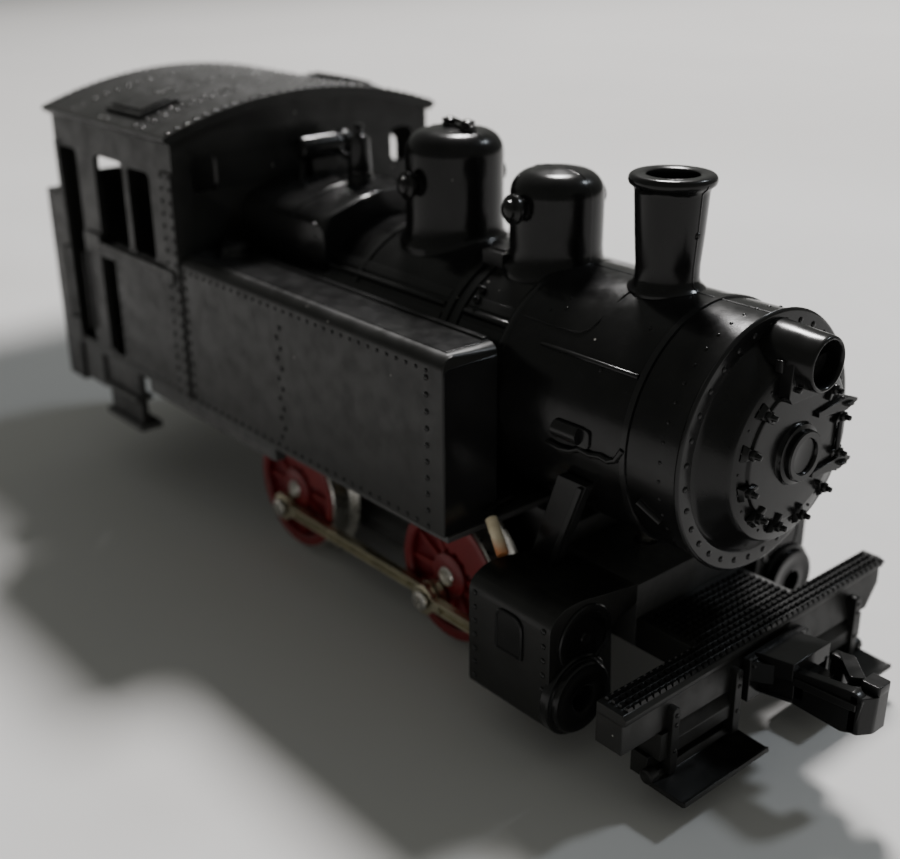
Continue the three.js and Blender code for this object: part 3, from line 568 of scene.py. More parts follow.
def wire_sleeve(name):
    """Cream sleeve with a burnt orange tip."""
    g = Graph(name)
    height = g.add("ShaderNodeSeparateXYZ", Vector=g.place).outputs["Z"]
    tip = Extent("lamp_wire")
    tip_z = ORIGIN.z + (tip.z0 + 0.9) * MM
    end = g.ramp(height, tip_z - 0.3 * MM, tip_z + 0.5 * MM, 1.0, 0.0)
    cream = g.mix(g.ramp(g.noise(0.8), 0.3, 0.7), (0.62, 0.52, 0.34, 1), (0.80, 0.70, 0.50, 1))
    color = g.mix(end, cream, (0.52, 0.20, 0.07, 1))
    rough = g.ramp(g.noise(0.5), 0.3, 0.7, 0.45, 0.65)
    return g.finish(Base_Color=color, Roughness=rough, Normal=g.bump(g.noise(0.2, 3.0), 0.02, 0.5))


def pale_floor(name):
    """Plain pale card."""
    g = Graph(name)
    color = g.mix(g.ramp(g.noise(60.0, 4.0), 0.3, 0.7), (0.60, 0.595, 0.585, 1), (0.64, 0.635, 0.625, 1))
    rough = g.ramp(g.noise(4.0), 0.3, 0.7, 0.75, 0.85)
    return g.finish(Base_Color=color, Roughness=rough, Normal=g.bump(g.noise(1.2, 4.0), 0.01, 0.3))


FINISHES = {
    "gloss_black": black_plastic("gloss_black", (0.006, 0.006, 0.006), 0.2, 0.35, 0.03, 0.24),
    "satin_black": black_plastic("satin_black", (0.008, 0.008, 0.0075), 0.38, 0.6, 0.045, 0.27),
    "frame_black": cast_black("frame_black"),
    "wheel_red": red_plastic("wheel_red"),
    "bright_steel": metal("bright_steel", (0.42, 0.41, 0.38), (0.66, 0.64, 0.60), 0.3),
    "rod_nickel": metal("rod_nickel", (0.36, 0.33, 0.23), (0.58, 0.54, 0.40), 0.34, (0.2, 1.0, 1.0)),
    "gear_brass": metal("gear_brass", (0.38, 0.24, 0.07), (0.58, 0.41, 0.14), 0.32),
    "wire_sleeve": wire_sleeve("wire_sleeve"),
}


# ------------------------------------------------------------------ boiler
def boiler():
    """The barrel and the wider smokebox, turned in one with their bands and the joint ring."""
    front, rear, joint = BOILER.x1, BOILER.x0, SMOKEBOX_REAR

    def band(radius, middle, width):
        half = width / 2
        return [(radius, middle - half), (radius + BAND, middle - half + 0.03),
                (radius + BAND, middle + half - 0.03), (radius, middle + half)]

    profile = [(0, rear), (BOILER_R, rear)]
    profile += band(BOILER_R, STEAM_DOME.x - 4.2, 0.6)
    profile += band(BOILER_R, SAND_DOME.x - 4.3, 0.8) + band(BOILER_R, SAND_DOME.x - 3.0, 0.7)
    profile += [(BOILER_R, joint - 1.4), (BOILER_R + 0.3, joint - 1.3), (BOILER_R + 0.42, joint - 1.0),
                (BOILER_R + 0.42, joint - 0.5), (SMOKEBOX_R, joint - 0.3)]
    profile += band(SMOKEBOX_R, front - 4.8, 0.55)
    profile += [(SMOKEBOX_R, front - 0.15), (SMOKEBOX_R - 0.15, front), (0, front)]
    bm = bmesh.new()
    lathe(bm, "x", (0, 0, AXIS_Z), profile, 128)
    piece("boiler_barrel", bm, stands_for="boiler_shell")


def boiler_ribs():
    """Lengthwise pipes and steps moulded along both sides of the boiler."""
    bm = bmesh.new()
    joint = SMOKEBOX_REAR - 1.3
    gap = (SAND_DOME.x - 4.8, SAND_DOME.x - 2.4)
    for side in (1, -1):
        for x0, x1, angle, radius in ((CASING.x1, gap[0], 52.5, 0.3), (gap[1], joint, 52.5, 0.34),
                                      (SMOKEBOX_REAR + 3, BOILER.x1 - 5.2, 55.5, 0.2)):
            tube(bm, [around(x0, side * angle, 0.02), around(x1, side * angle, 0.02)], radius)
        for x0, x1 in ((CASING.x1, gap[0]), (gap[1], joint)):
            patch(bm, x0, x1, side * 43.5, side * 49, 0.1)
            patch(bm, x0, x1, side * 57, side * 66, 0.18)
    piece("boiler_ribs", bm, bevel=0.05, segments=2)


def boiler_seams():
    """Raised seams: the smokebox panel's rounded edge and the parting lines along the top."""
    bm = bmesh.new()
    panel = [(SMOKEBOX_REAR, 46), (22.6, 46), (23.4, 45), (23.9, 42.5), (24.2, 38), (24.3, 20), (24.3, 16)]
    for side in (1, -1):
        tube(bm, [around(x, side * angle, 0.0) for x, angle in panel], 0.1, 8)
    for radius, x0, x1 in ((BOILER_R, CASING.x1, SMOKEBOX_REAR - 1.3),
                           (SMOKEBOX_R, SMOKEBOX_REAR, BOILER.x1)):
        crown = AXIS_Z + radius - 0.02
        tube(bm, [(x0, 0, crown), (x1, 0, crown)], SEAM, 8)
    piece("boiler_seams", bm)


def boiler_clamp():
    """The flat blocks and nuts that hold the bands between the domes."""
    bm = bmesh.new()
    middle = SAND_DOME.x - 3.4
    nut = [(0, -0.1), (0.36, -0.1), (0.36, 0.3), (0.22, 0.36), (0.2, 0.6), (0, 0.66)]
    for side, _ in SIDES:
        box(bm, (middle - 1.1, middle + 1.3), (side * 0.8, side * 3.7), (AXIS_Z + 8.2, AXIS_Z + 9.75))
        box(bm, (middle - 0.7, middle + 0.9), (side * 1.4, side * 3.1), (AXIS_Z + 9.6, AXIS_Z + 9.95))
        for x, angle in ((SAND_DOME.x - 1.9, 39.5), (SAND_DOME.x - 1.7, 45.5)):
            stud(bm, around(x, -side * angle), outward(-side * angle), nut, 6)
    piece("boiler_clamp", bm, bevel=0.07)


def dome(node, radius):
    """A dome with a rounded cap, a low saddle foot, a moulding seam and a pipe union on each side."""
    shape = Extent(node)
    x, top = shape.x + DOME_SHIFT, shape.z1
    cap, rise = 1.9, 0.25
    foot = [(-radius, -0.9), (0.6, -0.9), (0.6, 0.0), (0.5, 0.12), (0.2, 0.25), (0.06, 0.55), (0, 1.2),
            (0, 2.0)]
    profile = [(radius + flare, AXIS_Z + BOILER_R + height) for flare, height in foot]
    flat, cap_top = radius - cap, top - rise
    profile += [(flat + u, cap_top - cap + v) for u, v in arc(0, 0, cap, 0, 80, 8)]
    profile += [(flat * share + 0.1, cap_top + rise * (1 - share * share)) for share in (0.95, 0.7, 0.4)]
    profile += [(0, top)]
    bm = bmesh.new()
    lathe(bm, "z", (x, 0, 0), profile, 96, saddle_bend(1.1))
    for way in (-1, 1):
        tube(bm, [(x + way * (r - 0.03), 0, z) for r, z in profile[4:-1]], SEAM, 6)
    union = [(0, -0.8), (0.95, -0.8), (0.95, 0.1), (0.8, 0.2), (0.78, 0.5), (1.15, 0.6), (1.22, 0.8),
             (1.2, 1.05), (0.95, 1.2), (0.8, 1.28), (0.74, 1.5), (0.5, 1.62), (0, 1.66)]
    for side, _ in SIDES:
        stud(bm, (x - 0.2, side * (radius - 0.1), UNION_Z), (-0.12, side, 0.05), union, 24)
    piece(node + "_shell", bm, stands_for=node)


def safety_valves():
    """Two valves joined by a bar and a lever on the steam dome."""
    seat, top = STEAM_DOME.z1, Extent("safety_valves").z1
    x = STEAM_DOME.x + DOME_SHIFT
    body = [(0, -0.6), (0.72, -0.6), (0.72, 0.05), (0.6, 0.12), (0.58, 0.34), (0.7, 0.4), (0.66, 0.58)]
    profile = offset(seat, body) + offset(top, [(0.4, -0.12), (0.22, 0), (0, 0)])
    bm = bmesh.new()
    for step in (-0.6, 1.7):
        lathe(bm, "z", (x + step, 0, 0), profile, 8)
    box(bm, (x - 1.2, x + 2.4), (-0.4, 0.4), (seat - 0.35, seat + 0.22))
    lever = [(x - 0.6, 0.1, seat + 0.5), (x + 1.0, -0.2, seat + 0.5), (x + 2.6, -0.3, seat + 0.1)]
    tube(bm, lever, 0.17, 8)
    piece("safety_valve_pair", bm, stands_for="safety_valves", bevel=0.05)


def firebox_casing():
    """The square-shouldered cover in front of the cab, with its two bands and its side rivets."""
    half, crown = CASING.y1 + 0.1, CASING.z1
    foot, shoulder = AXIS_Z + 4, 33.0
    outline = [(half, foot), (half, shoulder), (half - 0.35, shoulder + 0.6), (half - 1.0, shoulder + 1.05),
               (3.4, crown - 0.25), (1.4, crown - 0.02)]
    outline += [(-u, v) for u, v in reversed(outline)]
    bm = bmesh.new()
    prism(bm, "x", outline, CASING.x0, CASING.x1)
    round_edges(bm, lambda p: abs(p.x - CASING.x1) < NEAR and p.z > shoulder - 0.1, 0.7, 2)
    piece("firebox_casing_shell", bm, stands_for="firebox_casing", bevel=0.05)
    bm = bmesh.new()
    for side, _ in SIDES:
        for k in range(5):
            rivet(bm, (CASING.x1 - 1.4, side * half, foot + 0.8 + k * 1.1), (0, side, 0), 0.16)
    for x in (CASING.x1 - 5.0, CASING.x1 - 9.5):
        tube(bm, [(x, u, v + 0.02) for u, v in outline[1:-1]], 0.11, 6)
    piece("firebox_casing_bands", bm)


def turbo_generator():
    """A small turbine and dynamo lying across the casing, with its steam and cable pipes."""
    drum = Extent("turbo_generator")
    x, z, seat = drum.x, 37.9, 34.4
    near_end = offset(drum.y0, [(0, 0), (0.65, 0), (1.0, 0.15), (1.2, 0.5)])
    far_end = [(1.22, 1.2), (1.1, 1.3), (1.05, 1.9), (1.25, 2.0), (1.35, 2.15), (1.35, 2.7), (1.2, 2.86)]
    bm = bmesh.new()
    lathe(bm, "y", (x, 0, z), [*near_end, *far_end, (0, drum.y1)], 40)
    foot = rounded([(x - 0.9, seat), (x + 0.9, seat), (x + 0.6, z - 0.5), (x - 0.6, z - 0.5)], 0.1)
    prism(bm, "y", foot, -1.8, 1.2)
    steam = [(x, 2.0, z - 0.2), (x + 1.2, 1.2, z - 0.5), (x + 3.5, 0.3, z - 0.6), (x + 5.6, 0, z - 0.8)]
    cable = [(x, -2.4, z - 0.6), (x + 0.4, -2.9, z - 1.6), (x + 0.9, -3.4, seat + 0.6)]
    tube(bm, steam, 0.32)
    tube(bm, cable, 0.22)
    piece("turbo_generator_drum", bm, stands_for="turbo_generator", bevel=0.05)


def whistle():
    """A stepped whistle with its lever."""
    pipe = Extent("whistle")
    x, collar = pipe.x - 0.5, 36.5
    stem = [(1.25, -0.6), (1.12, -0.4), (1.1, 0), (1.15, 0.1), (1.02, 2.7), (1.0, 3.0), (0.8, 3.2),
            (0.42, 3.3), (0.36, 3.8), (0.45, 3.95), (0.4, 4.25), (0, 4.3)]
    bm = bmesh.new()
    lathe(bm, "z", (x, 0, 0), [(0, pipe.z0), (1.25, pipe.z0), *offset(collar, stem)], 40)
    lever = collar + 3.1
    tube(bm, [(x, 0, lever), (x + 1.1, -0.5, lever), (x + 1.25, -0.6, lever - 0.6)], 0.16, 8)
    piece("whistle_pipe", bm, stands_for="whistle")


# ------------------------------------------------------------------ smokebox
def smokebox_rivets():
    """A row round the smokebox's front edge and a few single rivets on its sides."""
    bm = bmesh.new()
    rim = BOILER.x1 - 1.5
    for k in range(-20, 21):
        rivet(bm, around(rim, k * 8.6, 0, SMOKEBOX_R), outward(k * 8.6), 0.15)
    for side in (1, -1):
        for x, angle in ((20.3, 30), (20.7, 36), (19.4, 39), (26.7, 58), (28.6, 33)):
            rivet(bm, around(x, side * angle), outward(side * angle), 0.18)
    piece("smokebox_rivets", bm)


def smokebox_side_pipe():
    """The small feed valve and the thin pipe under it, low on each side of the smokebox."""
    bm = bmesh.new()
    path = [(23.0, 22.6), (24.4, 22.5), (25.5, 22.7), (26.3, 23.1), (27.4, 23.0), (28.4, 23.2),
            (29.2, 23.1),
            (29.9, 23.4), (30.5, 24.4)]
    for side, _ in SIDES:
        face = side * (SMOKEBOX_R + 0.05)
        flange = rounded(rectangle(25.9, 27.3, 23.3, 24.8), 0.4)
        prism(bm, "y", flange, side * (SMOKEBOX_R - 0.5), side * (SMOKEBOX_R + 0.2))
        tube(bm, [(23.9, face, 24.1), (26.4, face, 24.15)], 0.72, 20)
        tube(bm, [(x, face, z) for x, z in path], 0.27, 10)
        tube(bm, [(31.6, side * 9.1, 20.6), (33.4, side * 8.6, 19.4)], 0.3, 10)
    piece("smokebox_side_pipes", bm, bevel=0.06)


def smokebox_brace(side, word):
    """The flat stay from the smokebox down to the cylinder, with its raised edge."""
    shape = Extent(f"smokebox_brace_{word}")
    low, high = shape.z0 - 1.6, shape.z1
    bm = bmesh.new()
    outline = [(21.2, low), (23.9, low), (27.3, high), (24.4, high)]
    prism(bm, "y", rounded(outline, 0.15), side * 9.05, side * 9.9)
    ridge = [(23.3, low + 0.1), (23.8, low + 0.1), (27.1, high - 0.2), (26.6, high - 0.2)]
    prism(bm, "y", ridge, side * 9.5, side * 10.15)
    piece(f"brace_{word}", bm, stands_for=shape.node, bevel=0.08)


def smokebox_front():
    """The riveted ring, the dished plate inside it, the door and the boss in its middle."""
    ring_edge = [(9.75, 0.02), (9.93, 0.08), (9.98, 0.2), (9.88, 0.33), (9.7, 0.38)]
    dish = [(8.62, 0.4), (8.5, 0.34), (8.3, 0.42), (8.1, 0.6), (7.7, 1.05), (7.3, 1.55), (7.0, 2.05)]
    door = [(6.86, 2.32), (6.7, 2.42), (5.45, 2.5), (5.3, 2.54), (5.2, 2.74), (5.05, 2.8), (3.0, 2.84)]
    boss = [(2.4, 2.86), (2.3, 2.95), (2.25, 3.2), (1.95, 3.3), (1.92, 3.65), (1.82, 3.75), (1.42, 3.75),
            (1.34, 3.68), (1.3, 3.5), (1.1, 3.46), (0, 3.44)]
    profile = [(0, -1.0), (8.0, -1.0), (8.0, 0.02), *ring_edge, *dish, *door, *boss]
    bm = bmesh.new()
    lathe(bm, "x", (0, 0, AXIS_Z), offset(BOILER.x1, profile), 112)
    piece("smokebox_front_plate", bm, stands_for="smokebox_front")


def smokebox_front_rivets():
    """The large rivets of the front ring and the small ones round the door."""
    bm = bmesh.new()
    x = BOILER.x1
    for k in range(32):
        rivet(bm, around(x + 0.38, 360 * (k + 0.5) / 32, 0, 9.1), (1, 0, 0), 0.26)
    for k in range(24):
        rivet(bm, around(x + 2.47, 360 * k / 24, 0, 6.1), (1, 0, 0), 0.12)
    piece("smokebox_front_rivets", bm)


def dog(bm, x, angle):
    """One clamp at the door's rim: a wedge pointing inwards with a stud and nut on it."""
    def at(radius, turn, out):
        return around(x + out, angle + turn, 0, radius)

    foot = [at(4.5, -2.0, 0), at(6.2, -6.0, 0), at(6.2, 6.0, 0), at(4.5, 2.0, 0)]
    top = [at(4.6, -1.6, 0.62), at(6.0, -4.4, 0.42), at(6.0, 4.4, 0.42), at(4.6, 1.6, 0.62)]
    frustum(bm, foot, top)
    nut = [(0, 0), (0.42, 0), (0.42, 0.45), (0.24, 0.52), (0.22, 0.9), (0, 0.95)]
    stud(bm, at(5.5, 0, 0.3), (1, 0, 0), nut, 6)


def smokebox_door():
    """The twelve dogs round the door and the two hinge straps on the left."""
    x = BOILER.x1
    bm = bmesh.new()
    for k in range(12):
        dog(bm, x + 2.5, 15 + 30 * k)
    piece("smokebox_door_dogs", bm, bevel=0.05, segments=2)

    bm = bmesh.new()
    hinge_y = 5.2
    tube(bm, [(x + 2.95, hinge_y, AXIS_Z - 2.9), (x + 2.95, hinge_y, AXIS_Z + 3.0)], 0.2, 12)
    for rise in (-2.3, 2.4):
        z = AXIS_Z + rise
        strap = [(2.0, z - 0.2), (5.6, z - 0.55), (6.9, z - 0.1), (6.9, z + 0.1), (5.6, z + 0.55),
                 (2.0, z + 0.2)]
        prism(bm, "x", strap, x + 2.7, x + 3.15)
        prism(bm, "z", [(x + 2.5, 4.9), (x + 3.5, 5.3), (x + 3.5, 5.9), (x + 2.5, 6.9)], z - 0.12, z + 0.12)
    piece("smokebox_door_hinge", bm, bevel=0.05, segments=2)


def headlight():
    """A long open lamp tube with its skirt down to the front ring."""
    lamp = Extent("headlight")
    x0, x1, z = lamp.x0, lamp.x1, lamp.z1 - 2.6
    rim = [(2.08, -1.2), (2.05, -0.3), (2.0, -0.08), (1.9, 0), (1.78, 0)]
    inside = [(1.7, -0.12), (1.66, -0.5), (1.6, -2.4), (1.0, -2.9), (0, -3.0)]
    bm = bmesh.new()
    lathe(bm, "x", (0, 0, z), offset(x0, [(0, 0), (2.3, 0), (2.2, 1.6)]) + offset(x1, rim + inside), 72)
    skirt = [(-2.1, 0.2), (2.1, 0.2), (2.3, -2.3), (1.9, -2.8), (-1.9, -2.8), (-2.3, -2.3)]
    prism(bm, "x", offset(z, skirt), x0, x1 - 1.3)
    for side, _ in SIDES:
        box(bm, (x1 - 2.6, x1 - 2.0), (side * 1.7, side * 2.45), (z - 0.6, z + 0.3))
    piece("headlight_shell", bm, stands_for="headlight", bevel=0.07)


def chimney():
    """A tapered stack with a rolled lip, a seam down its front and a foot that follows the smokebox."""
    flue = Extent("chimney")
    top, x = flue.z1, flue.x + 0.4
    foot = [(0, -0.9), (2.95, -0.9), (2.95, -0.02), (2.8, 0.1), (2.52, 0.32), (2.42, 0.7), (2.42, 1.7),
            (2.6, 4.0)]
    lip = [(2.76, -1.35), (2.82, -1.05), (3.0, -0.86), (3.18, -0.72), (3.26, -0.5), (3.25, -0.3),
           (3.15, -0.12), (3.0, -0.02), (2.7, 0)]
    mouth = [(2.1, -0.02), (1.98, -0.1), (1.92, -0.4), (1.86, -2.2), (1.5, -2.5), (0, -2.6)]
    profile = offset(AXIS_Z + SMOKEBOX_R, foot) + offset(top, lip + mouth)
    bm = bmesh.new()
    lathe(bm, "z", (x, 0, 0), profile, 80, saddle_bend(1.2))
    tube(bm, [(x + r, 0, z) for r, z in profile[3:13]], SEAM, 6)
    stud(bm, (x + 2.55, 0, top - 4.2), (1, 0, 0), [(0, 0), (0.35, 0), (0.2, 0.2), (0, 0.25)], 8)
    piece("chimney_stack", bm, stands_for="chimney")


# ------------------------------------------------------------------ tanks
def side_tank(side, word):
    """The tank with its rolled upper edge, and the glossier plates on its top and front."""
    inner, outer = TANK.inner, TANK.outer
    bottom, top = TANK.z0, TANK.z1
    roll = 1.1
    outline = [(inner, bottom), (outer, bottom), *arc(outer - roll, top - roll, roll, 0, 90, 10),
               (inner, top)]
    bm = bmesh.new()
    prism(bm, "x", flipped(side, outline), TANK.x0, TANK.x1)
    round_edges(bm, lambda p: abs(p.x - TANK.x1) < NEAR and p.z > top - roll - 0.05, 0.75, 6)
    piece(f"tank_{word}", bm, "satin_black", stands_for=f"side_tank_{word}", bevel=0.12)
    bm = bmesh.new()
    lid = rectangle(TANK.x0 + 0.1, TANK.x1 - 0.9, inner, outer - roll - 0.1)
    prism(bm, "z", [(x, side * y) for x, y in lid], top - 0.1, top + 0.06)
    edge = rounded(rectangle(inner, outer - 0.15, bottom + 0.15, top - 0.9), [0.1, 0.1, 0.6, 0.1])
    prism(bm, "x", flipped(side, edge), TANK.x1 - 0.3, TANK.x1 + 0.03)
    piece(f"tank_facing_{word}", bm, bevel=0.05, segments=2)


def tank_rivets(side, word):
    """Rows of rivets along the tank's edges and up its middle seam."""
    bottom, top = TANK.z0, TANK.z1
    front, rear = TANK.x1 - 1.9, TANK.x0 + 0.6
    rows = (
        (front, front, bottom + 0.4, top - 1.9, 1.4, 0.27),
        (rear, front, top - 1.35, top - 1.35, 1.2, 0.2),
        (rear, front - 1.4, bottom + 0.5, bottom + 0.5, 1.25, 0.22),
        (-4.4, -4.4, bottom + 2.4, bottom + 11.9, 2.0, 0.26),
        (-4.95, -4.95, bottom + 1.4, bottom + 10.9, 2.0, 0.26),
        (rear, rear, bottom + 0.9, top - 2.0, 1.1, 0.24),
    )
    bm = bmesh.new()
    y = side * TANK.outer
    for x0, x1, z0, z1, pitch, radius in rows:
        rivet_row(bm, (x0, y, z0), (x1, y, z1), (0, side, 0), pitch, radius)
    piece(f"tank_rivets_{word}", bm)


def tank_fittings(side, word):
    """The filler with its handle and the low rail along the inner edge of the tank's top."""
    inner, top = TANK.inner, TANK.z1
    bm = bmesh.new()
    box(bm, (TANK.x0 + 2, TANK.x1 - 1.2), (side * (inner - 0.05), side * (inner + 0.5)),
        (top - 0.1, top + 0.25))
    filler = [(0, -0.2), (1.75, -0.2), (1.75, 0.35), (1.55, 0.45), (1.5, 0.85), (1.2, 1.15), (0.6, 1.3),
              (0, 1.33)]
    lathe(bm, "z", (-17.9, side * 11.0, 0), offset(top, filler), 32)
    box(bm, (-19.9, -16.2), (side * 10.8, side * 11.2), (top + 0.7, top + 1.25))
    piece(f"tank_fittings_{word}", bm, bevel=0.08)


def lamp_wire():
    """The cut end of a sleeved wire, and the thin black wire that runs back from it."""
    shape = Extent("lamp_wire")
    end = Vector((shape.x1 - 0.35, -12.5, shape.z0 + 0.3))
    start = Vector((18.9, -11.6, 15.2))
    bm = bmesh.new()
    tube(bm, [start.lerp(end, k / 5) for k in range(6)], 0.5, 16)
    piece("lamp_wire_stub", bm, "wire_sleeve", stands_for="lamp_wire", bevel=0.06)
    bm = bmesh.new()
    core = [start.lerp(end, 0.2), start, (17.9, -10.8, 15.4), (17.2, -9.6, 15.2), (16.8, -7.5, 15.0)]
    tube(bm, core, 0.22, 10)
    piece("lamp_wire_core", bm, "satin_black")


# ------------------------------------------------------------------ cab
def roof_arch(half, crown, sag, steps=32):
    """(y, z) points of the roof's curve from the right eaves to the left."""
    radius = (half * half + sag * sag) / (2 * sag)
    sweep = math.degrees(math.asin(half / radius))
    return arc(0, crown - radius, radius, 90 + sweep, 90 - sweep, steps)


def on_roof(x, y, lift=0.0):
    """A point on the roof and the direction its surface faces."""
    half = ROOF.y1 - 0.1
    radius = (half ** 2 + ROOF_SAG ** 2) / (2 * ROOF_SAG)
    reach = math.sqrt(radius ** 2 - y ** 2)
    normal = Vector((0, y, reach)).normalized()
    return Vector((x, y, ROOF.z1 - radius + reach)) + normal * lift, normal


def cab_walls():
    """The four walls, with the door and two side windows cut in each side and two windows in each end."""
    rear, front, bottom, half = CAB.x0, CAB.x1, CAB.z0, CAB.y1
    foot, waist, head = 15.0, 27.6, 36.4
    under = roof_arch(half, ROOF.z1 - 0.6, ROOF_SAG - 0.1)
    doorway = [(-37.5, foot), (-35.0, foot), (-35.0, waist), (-31.2, waist), (-31.2, head), (-37.5, head)]
    side_openings = [
        rounded(rectangle(-45.3, -41.4, foot, head), 0.7),
        rounded(doorway, [0.5, 0.5, 0.2, 0.5, 0.9, 0.9]),
        rounded(rectangle(-30.2, -25.7, waist, head - 0.2), 0.8),
    ]
    bm = bmesh.new()
    for side, _ in SIDES:
        wall = rectangle(rear, front, bottom, under[0][1])
        prism(bm, "y", wall, side * (half - CAB_WALL), side * half, side_openings)
    end = [(-half + CAB_WALL, bottom), (half - CAB_WALL, bottom)]
    end += [(u * (half - CAB_WALL) / half, v) for u, v in reversed(under)]
    spectacles = [flipped(side, rounded(rectangle(10.5, 13.3, 34.6, 38.1), 0.9)) for side, _ in SIDES]
    prism(bm, "x", end, front - CAB_WALL, front - 0.01, spectacles)
    rear_windows = [flipped(side, rounded(rectangle(6.0, 11.5, 33.0, 37.5), 0.9)) for side, _ in SIDES]
    prism(bm, "x", end, rear + 0.01, rear + CAB_WALL, rear_windows)
    piece("cab_walls", bm, "satin_black", stands_for="cab_body", bevel=0.1)


def cab_trim():
    """Door posts, sills, the joint strip against the tank, and the handrails."""
    bm = bmesh.new()
    half, front = CAB.y1, CAB.x1
    strips = (
        (-41.2, -37.7, 15.2, 28.0, 0.4, 0.3),
        (-37.3, -22.0, 25.9, 27.3, 0.3, 0.42),
        (front - 2.4, front - 0.1, 14.3, 36.8, 0.2, 0.2),
        (CAB.x0 + 0.1, CAB.x0 + 1.0, 14.3, 36.8, 0.2, 0.16),
    )
    for side, _ in SIDES:
        for x0, x1, z0, z1, radius, proud in strips:
            outline = rounded(rectangle(x0, x1, z0, z1), radius)
            prism(bm, "y", outline, side * (half - 0.3), side * (half + proud))
        for x in (-45.9, -41.2):
            rail = side * (half + 0.6)
            tube(bm, [(x, rail, 17.0), (x, rail, 25.5)], 0.18, 8)
            for z in (17.2, 25.3):
                tube(bm, [(x, side * half, z), (x, rail, z)], 0.15, 8)
    piece("cab_side_trim", bm, "satin_black", bevel=0.08)


def cab_rivets():
    """The rivets on the cab's sides: two columns in front, the sill, the waist and the door post."""
    bm = bmesh.new()
    half, front = CAB.y1, CAB.x1
    for side, _ in SIDES:
        rows = [(x, x, 0.2, 14.8, 36.4, 1.2, 0.24) for x in (front - 2.0, front - 0.5)]
        rows += [(-34.2, -24.4, 0, 14.8, 14.8, 1.3, 0.15), (-37.0, -24.4, 0.42, 26.6, 26.6, 1.2, 0.15),
                 (-34.4, -34.4, 0, 15.9, 24.9, 1.3, 0.15)]
        for x0, x1, proud, z0, z1, pitch, radius in rows:
            face = side * (half + proud)
            rivet_row(bm, (x0, face, z0), (x1, face, z1), (0, side, 0), pitch, radius)
    piece("cab_rivets", bm)


def cab_interior():
    """The cab's floor and the boiler's end inside it."""
    rear, front, half, bottom = CAB.x0 + CAB_WALL, CAB.x1 - CAB_WALL, CAB.y1 - CAB_WALL, CAB.z0
    bm = bmesh.new()
    box(bm, (rear, front), (-half, half), (bottom, bottom + 0.8))
    backhead = [(-6.6, bottom), (6.6, bottom), (6.6, 29.0), (4.5, 31.5), (-4.5, 31.5), (-6.6, 29.0)]
    prism(bm, "x", rounded(backhead, 0.8), front - 2.2, front)
    piece("cab_floor_and_backhead", bm, "satin_black", bevel=0.1)


def cab_roof():
    """The arched roof: a thin plate that ends in a sharp drip edge outside each wall."""
    bm = bmesh.new()
    half, crown = ROOF.y1, ROOF.z1
    top = roof_arch(half - 0.1, crown, ROOF_SAG)
    under = roof_arch(CAB.y1 - 0.1, crown - 1.0, ROOF_SAG - 0.3)
    eaves = top[0][1]
    outline = [(-half, eaves - 0.12), *top, (half, eaves - 0.12), (half - 0.1, eaves - 0.4)]
    outline += [(CAB.y1 + 0.15, eaves - 0.85), *reversed(under), (-CAB.y1 - 0.15, eaves - 0.85)]
    outline += [(-half + 0.1, eaves - 0.4)]
    prism(bm, "x", outline, ROOF.x0, ROOF.x1)
    piece("cab_roof_shell", bm, "satin_black", stands_for="cab_roof", bevel=0.04, segments=2)


def roof_rivets():
    """Rows of rivets across the roof, the two end rows larger."""
    bm = bmesh.new()
    half = ROOF.y1 - 0.7
    rear, front = ROOF.x0, ROOF.x1
    rows = [(x, 24, 0.24) for x in (front - 5.2, front - 6.6, front - 12.4, front - 13.8, rear + 6.2)]
    rows += [(x, 30, 0.27) for x in (front - 0.4, rear + 0.6)]
    for x, count, radius in rows:
        for k in range(count + 1):
            at, normal = on_roof(x, -half + 2 * half * k / count)
            rivet(bm, at, normal, radius)
    piece("cab_roof_rivets", bm)


def roof_hatches():
    """Two raised rectangular ventilators, each a frame round a higher lid."""
    bm = bmesh.new()
    steps = 6
    for side, _ in SIDES:
        for inset, lift in ((0.0, 0.4), (0.55, 0.62)):
            x0, x1 = HATCH_X[0] + inset, HATCH_X[1] - inset
            width = HATCH_Y[1] - HATCH_Y[0] - 2 * inset
            ys = [HATCH_Y[0] + inset + width * k / steps for k in range(steps + 1)]
            loop = [(x0, y) for y in ys] + [(x1, y) for y in reversed(ys)]
            low = [bm.verts.new(on_roof(x, side * y, -0.2)[0]) for x, y in loop]
            high = [bm.verts.new(on_roof(x, side * y, lift)[0]) for x, y in loop]
            count = len(loop)
            for layer in (low, high):
                for k in range(steps):
                    bm.faces.new((layer[k], layer[k + 1], layer[count - 2 - k], layer[count - 1 - k]))
            for i in range(count):
                j = (i + 1) % count
                bm.faces.new((low[i], low[j], high[j], high[i]))
    piece("cab_roof_hatches", bm, "satin_black", bevel=0.07)


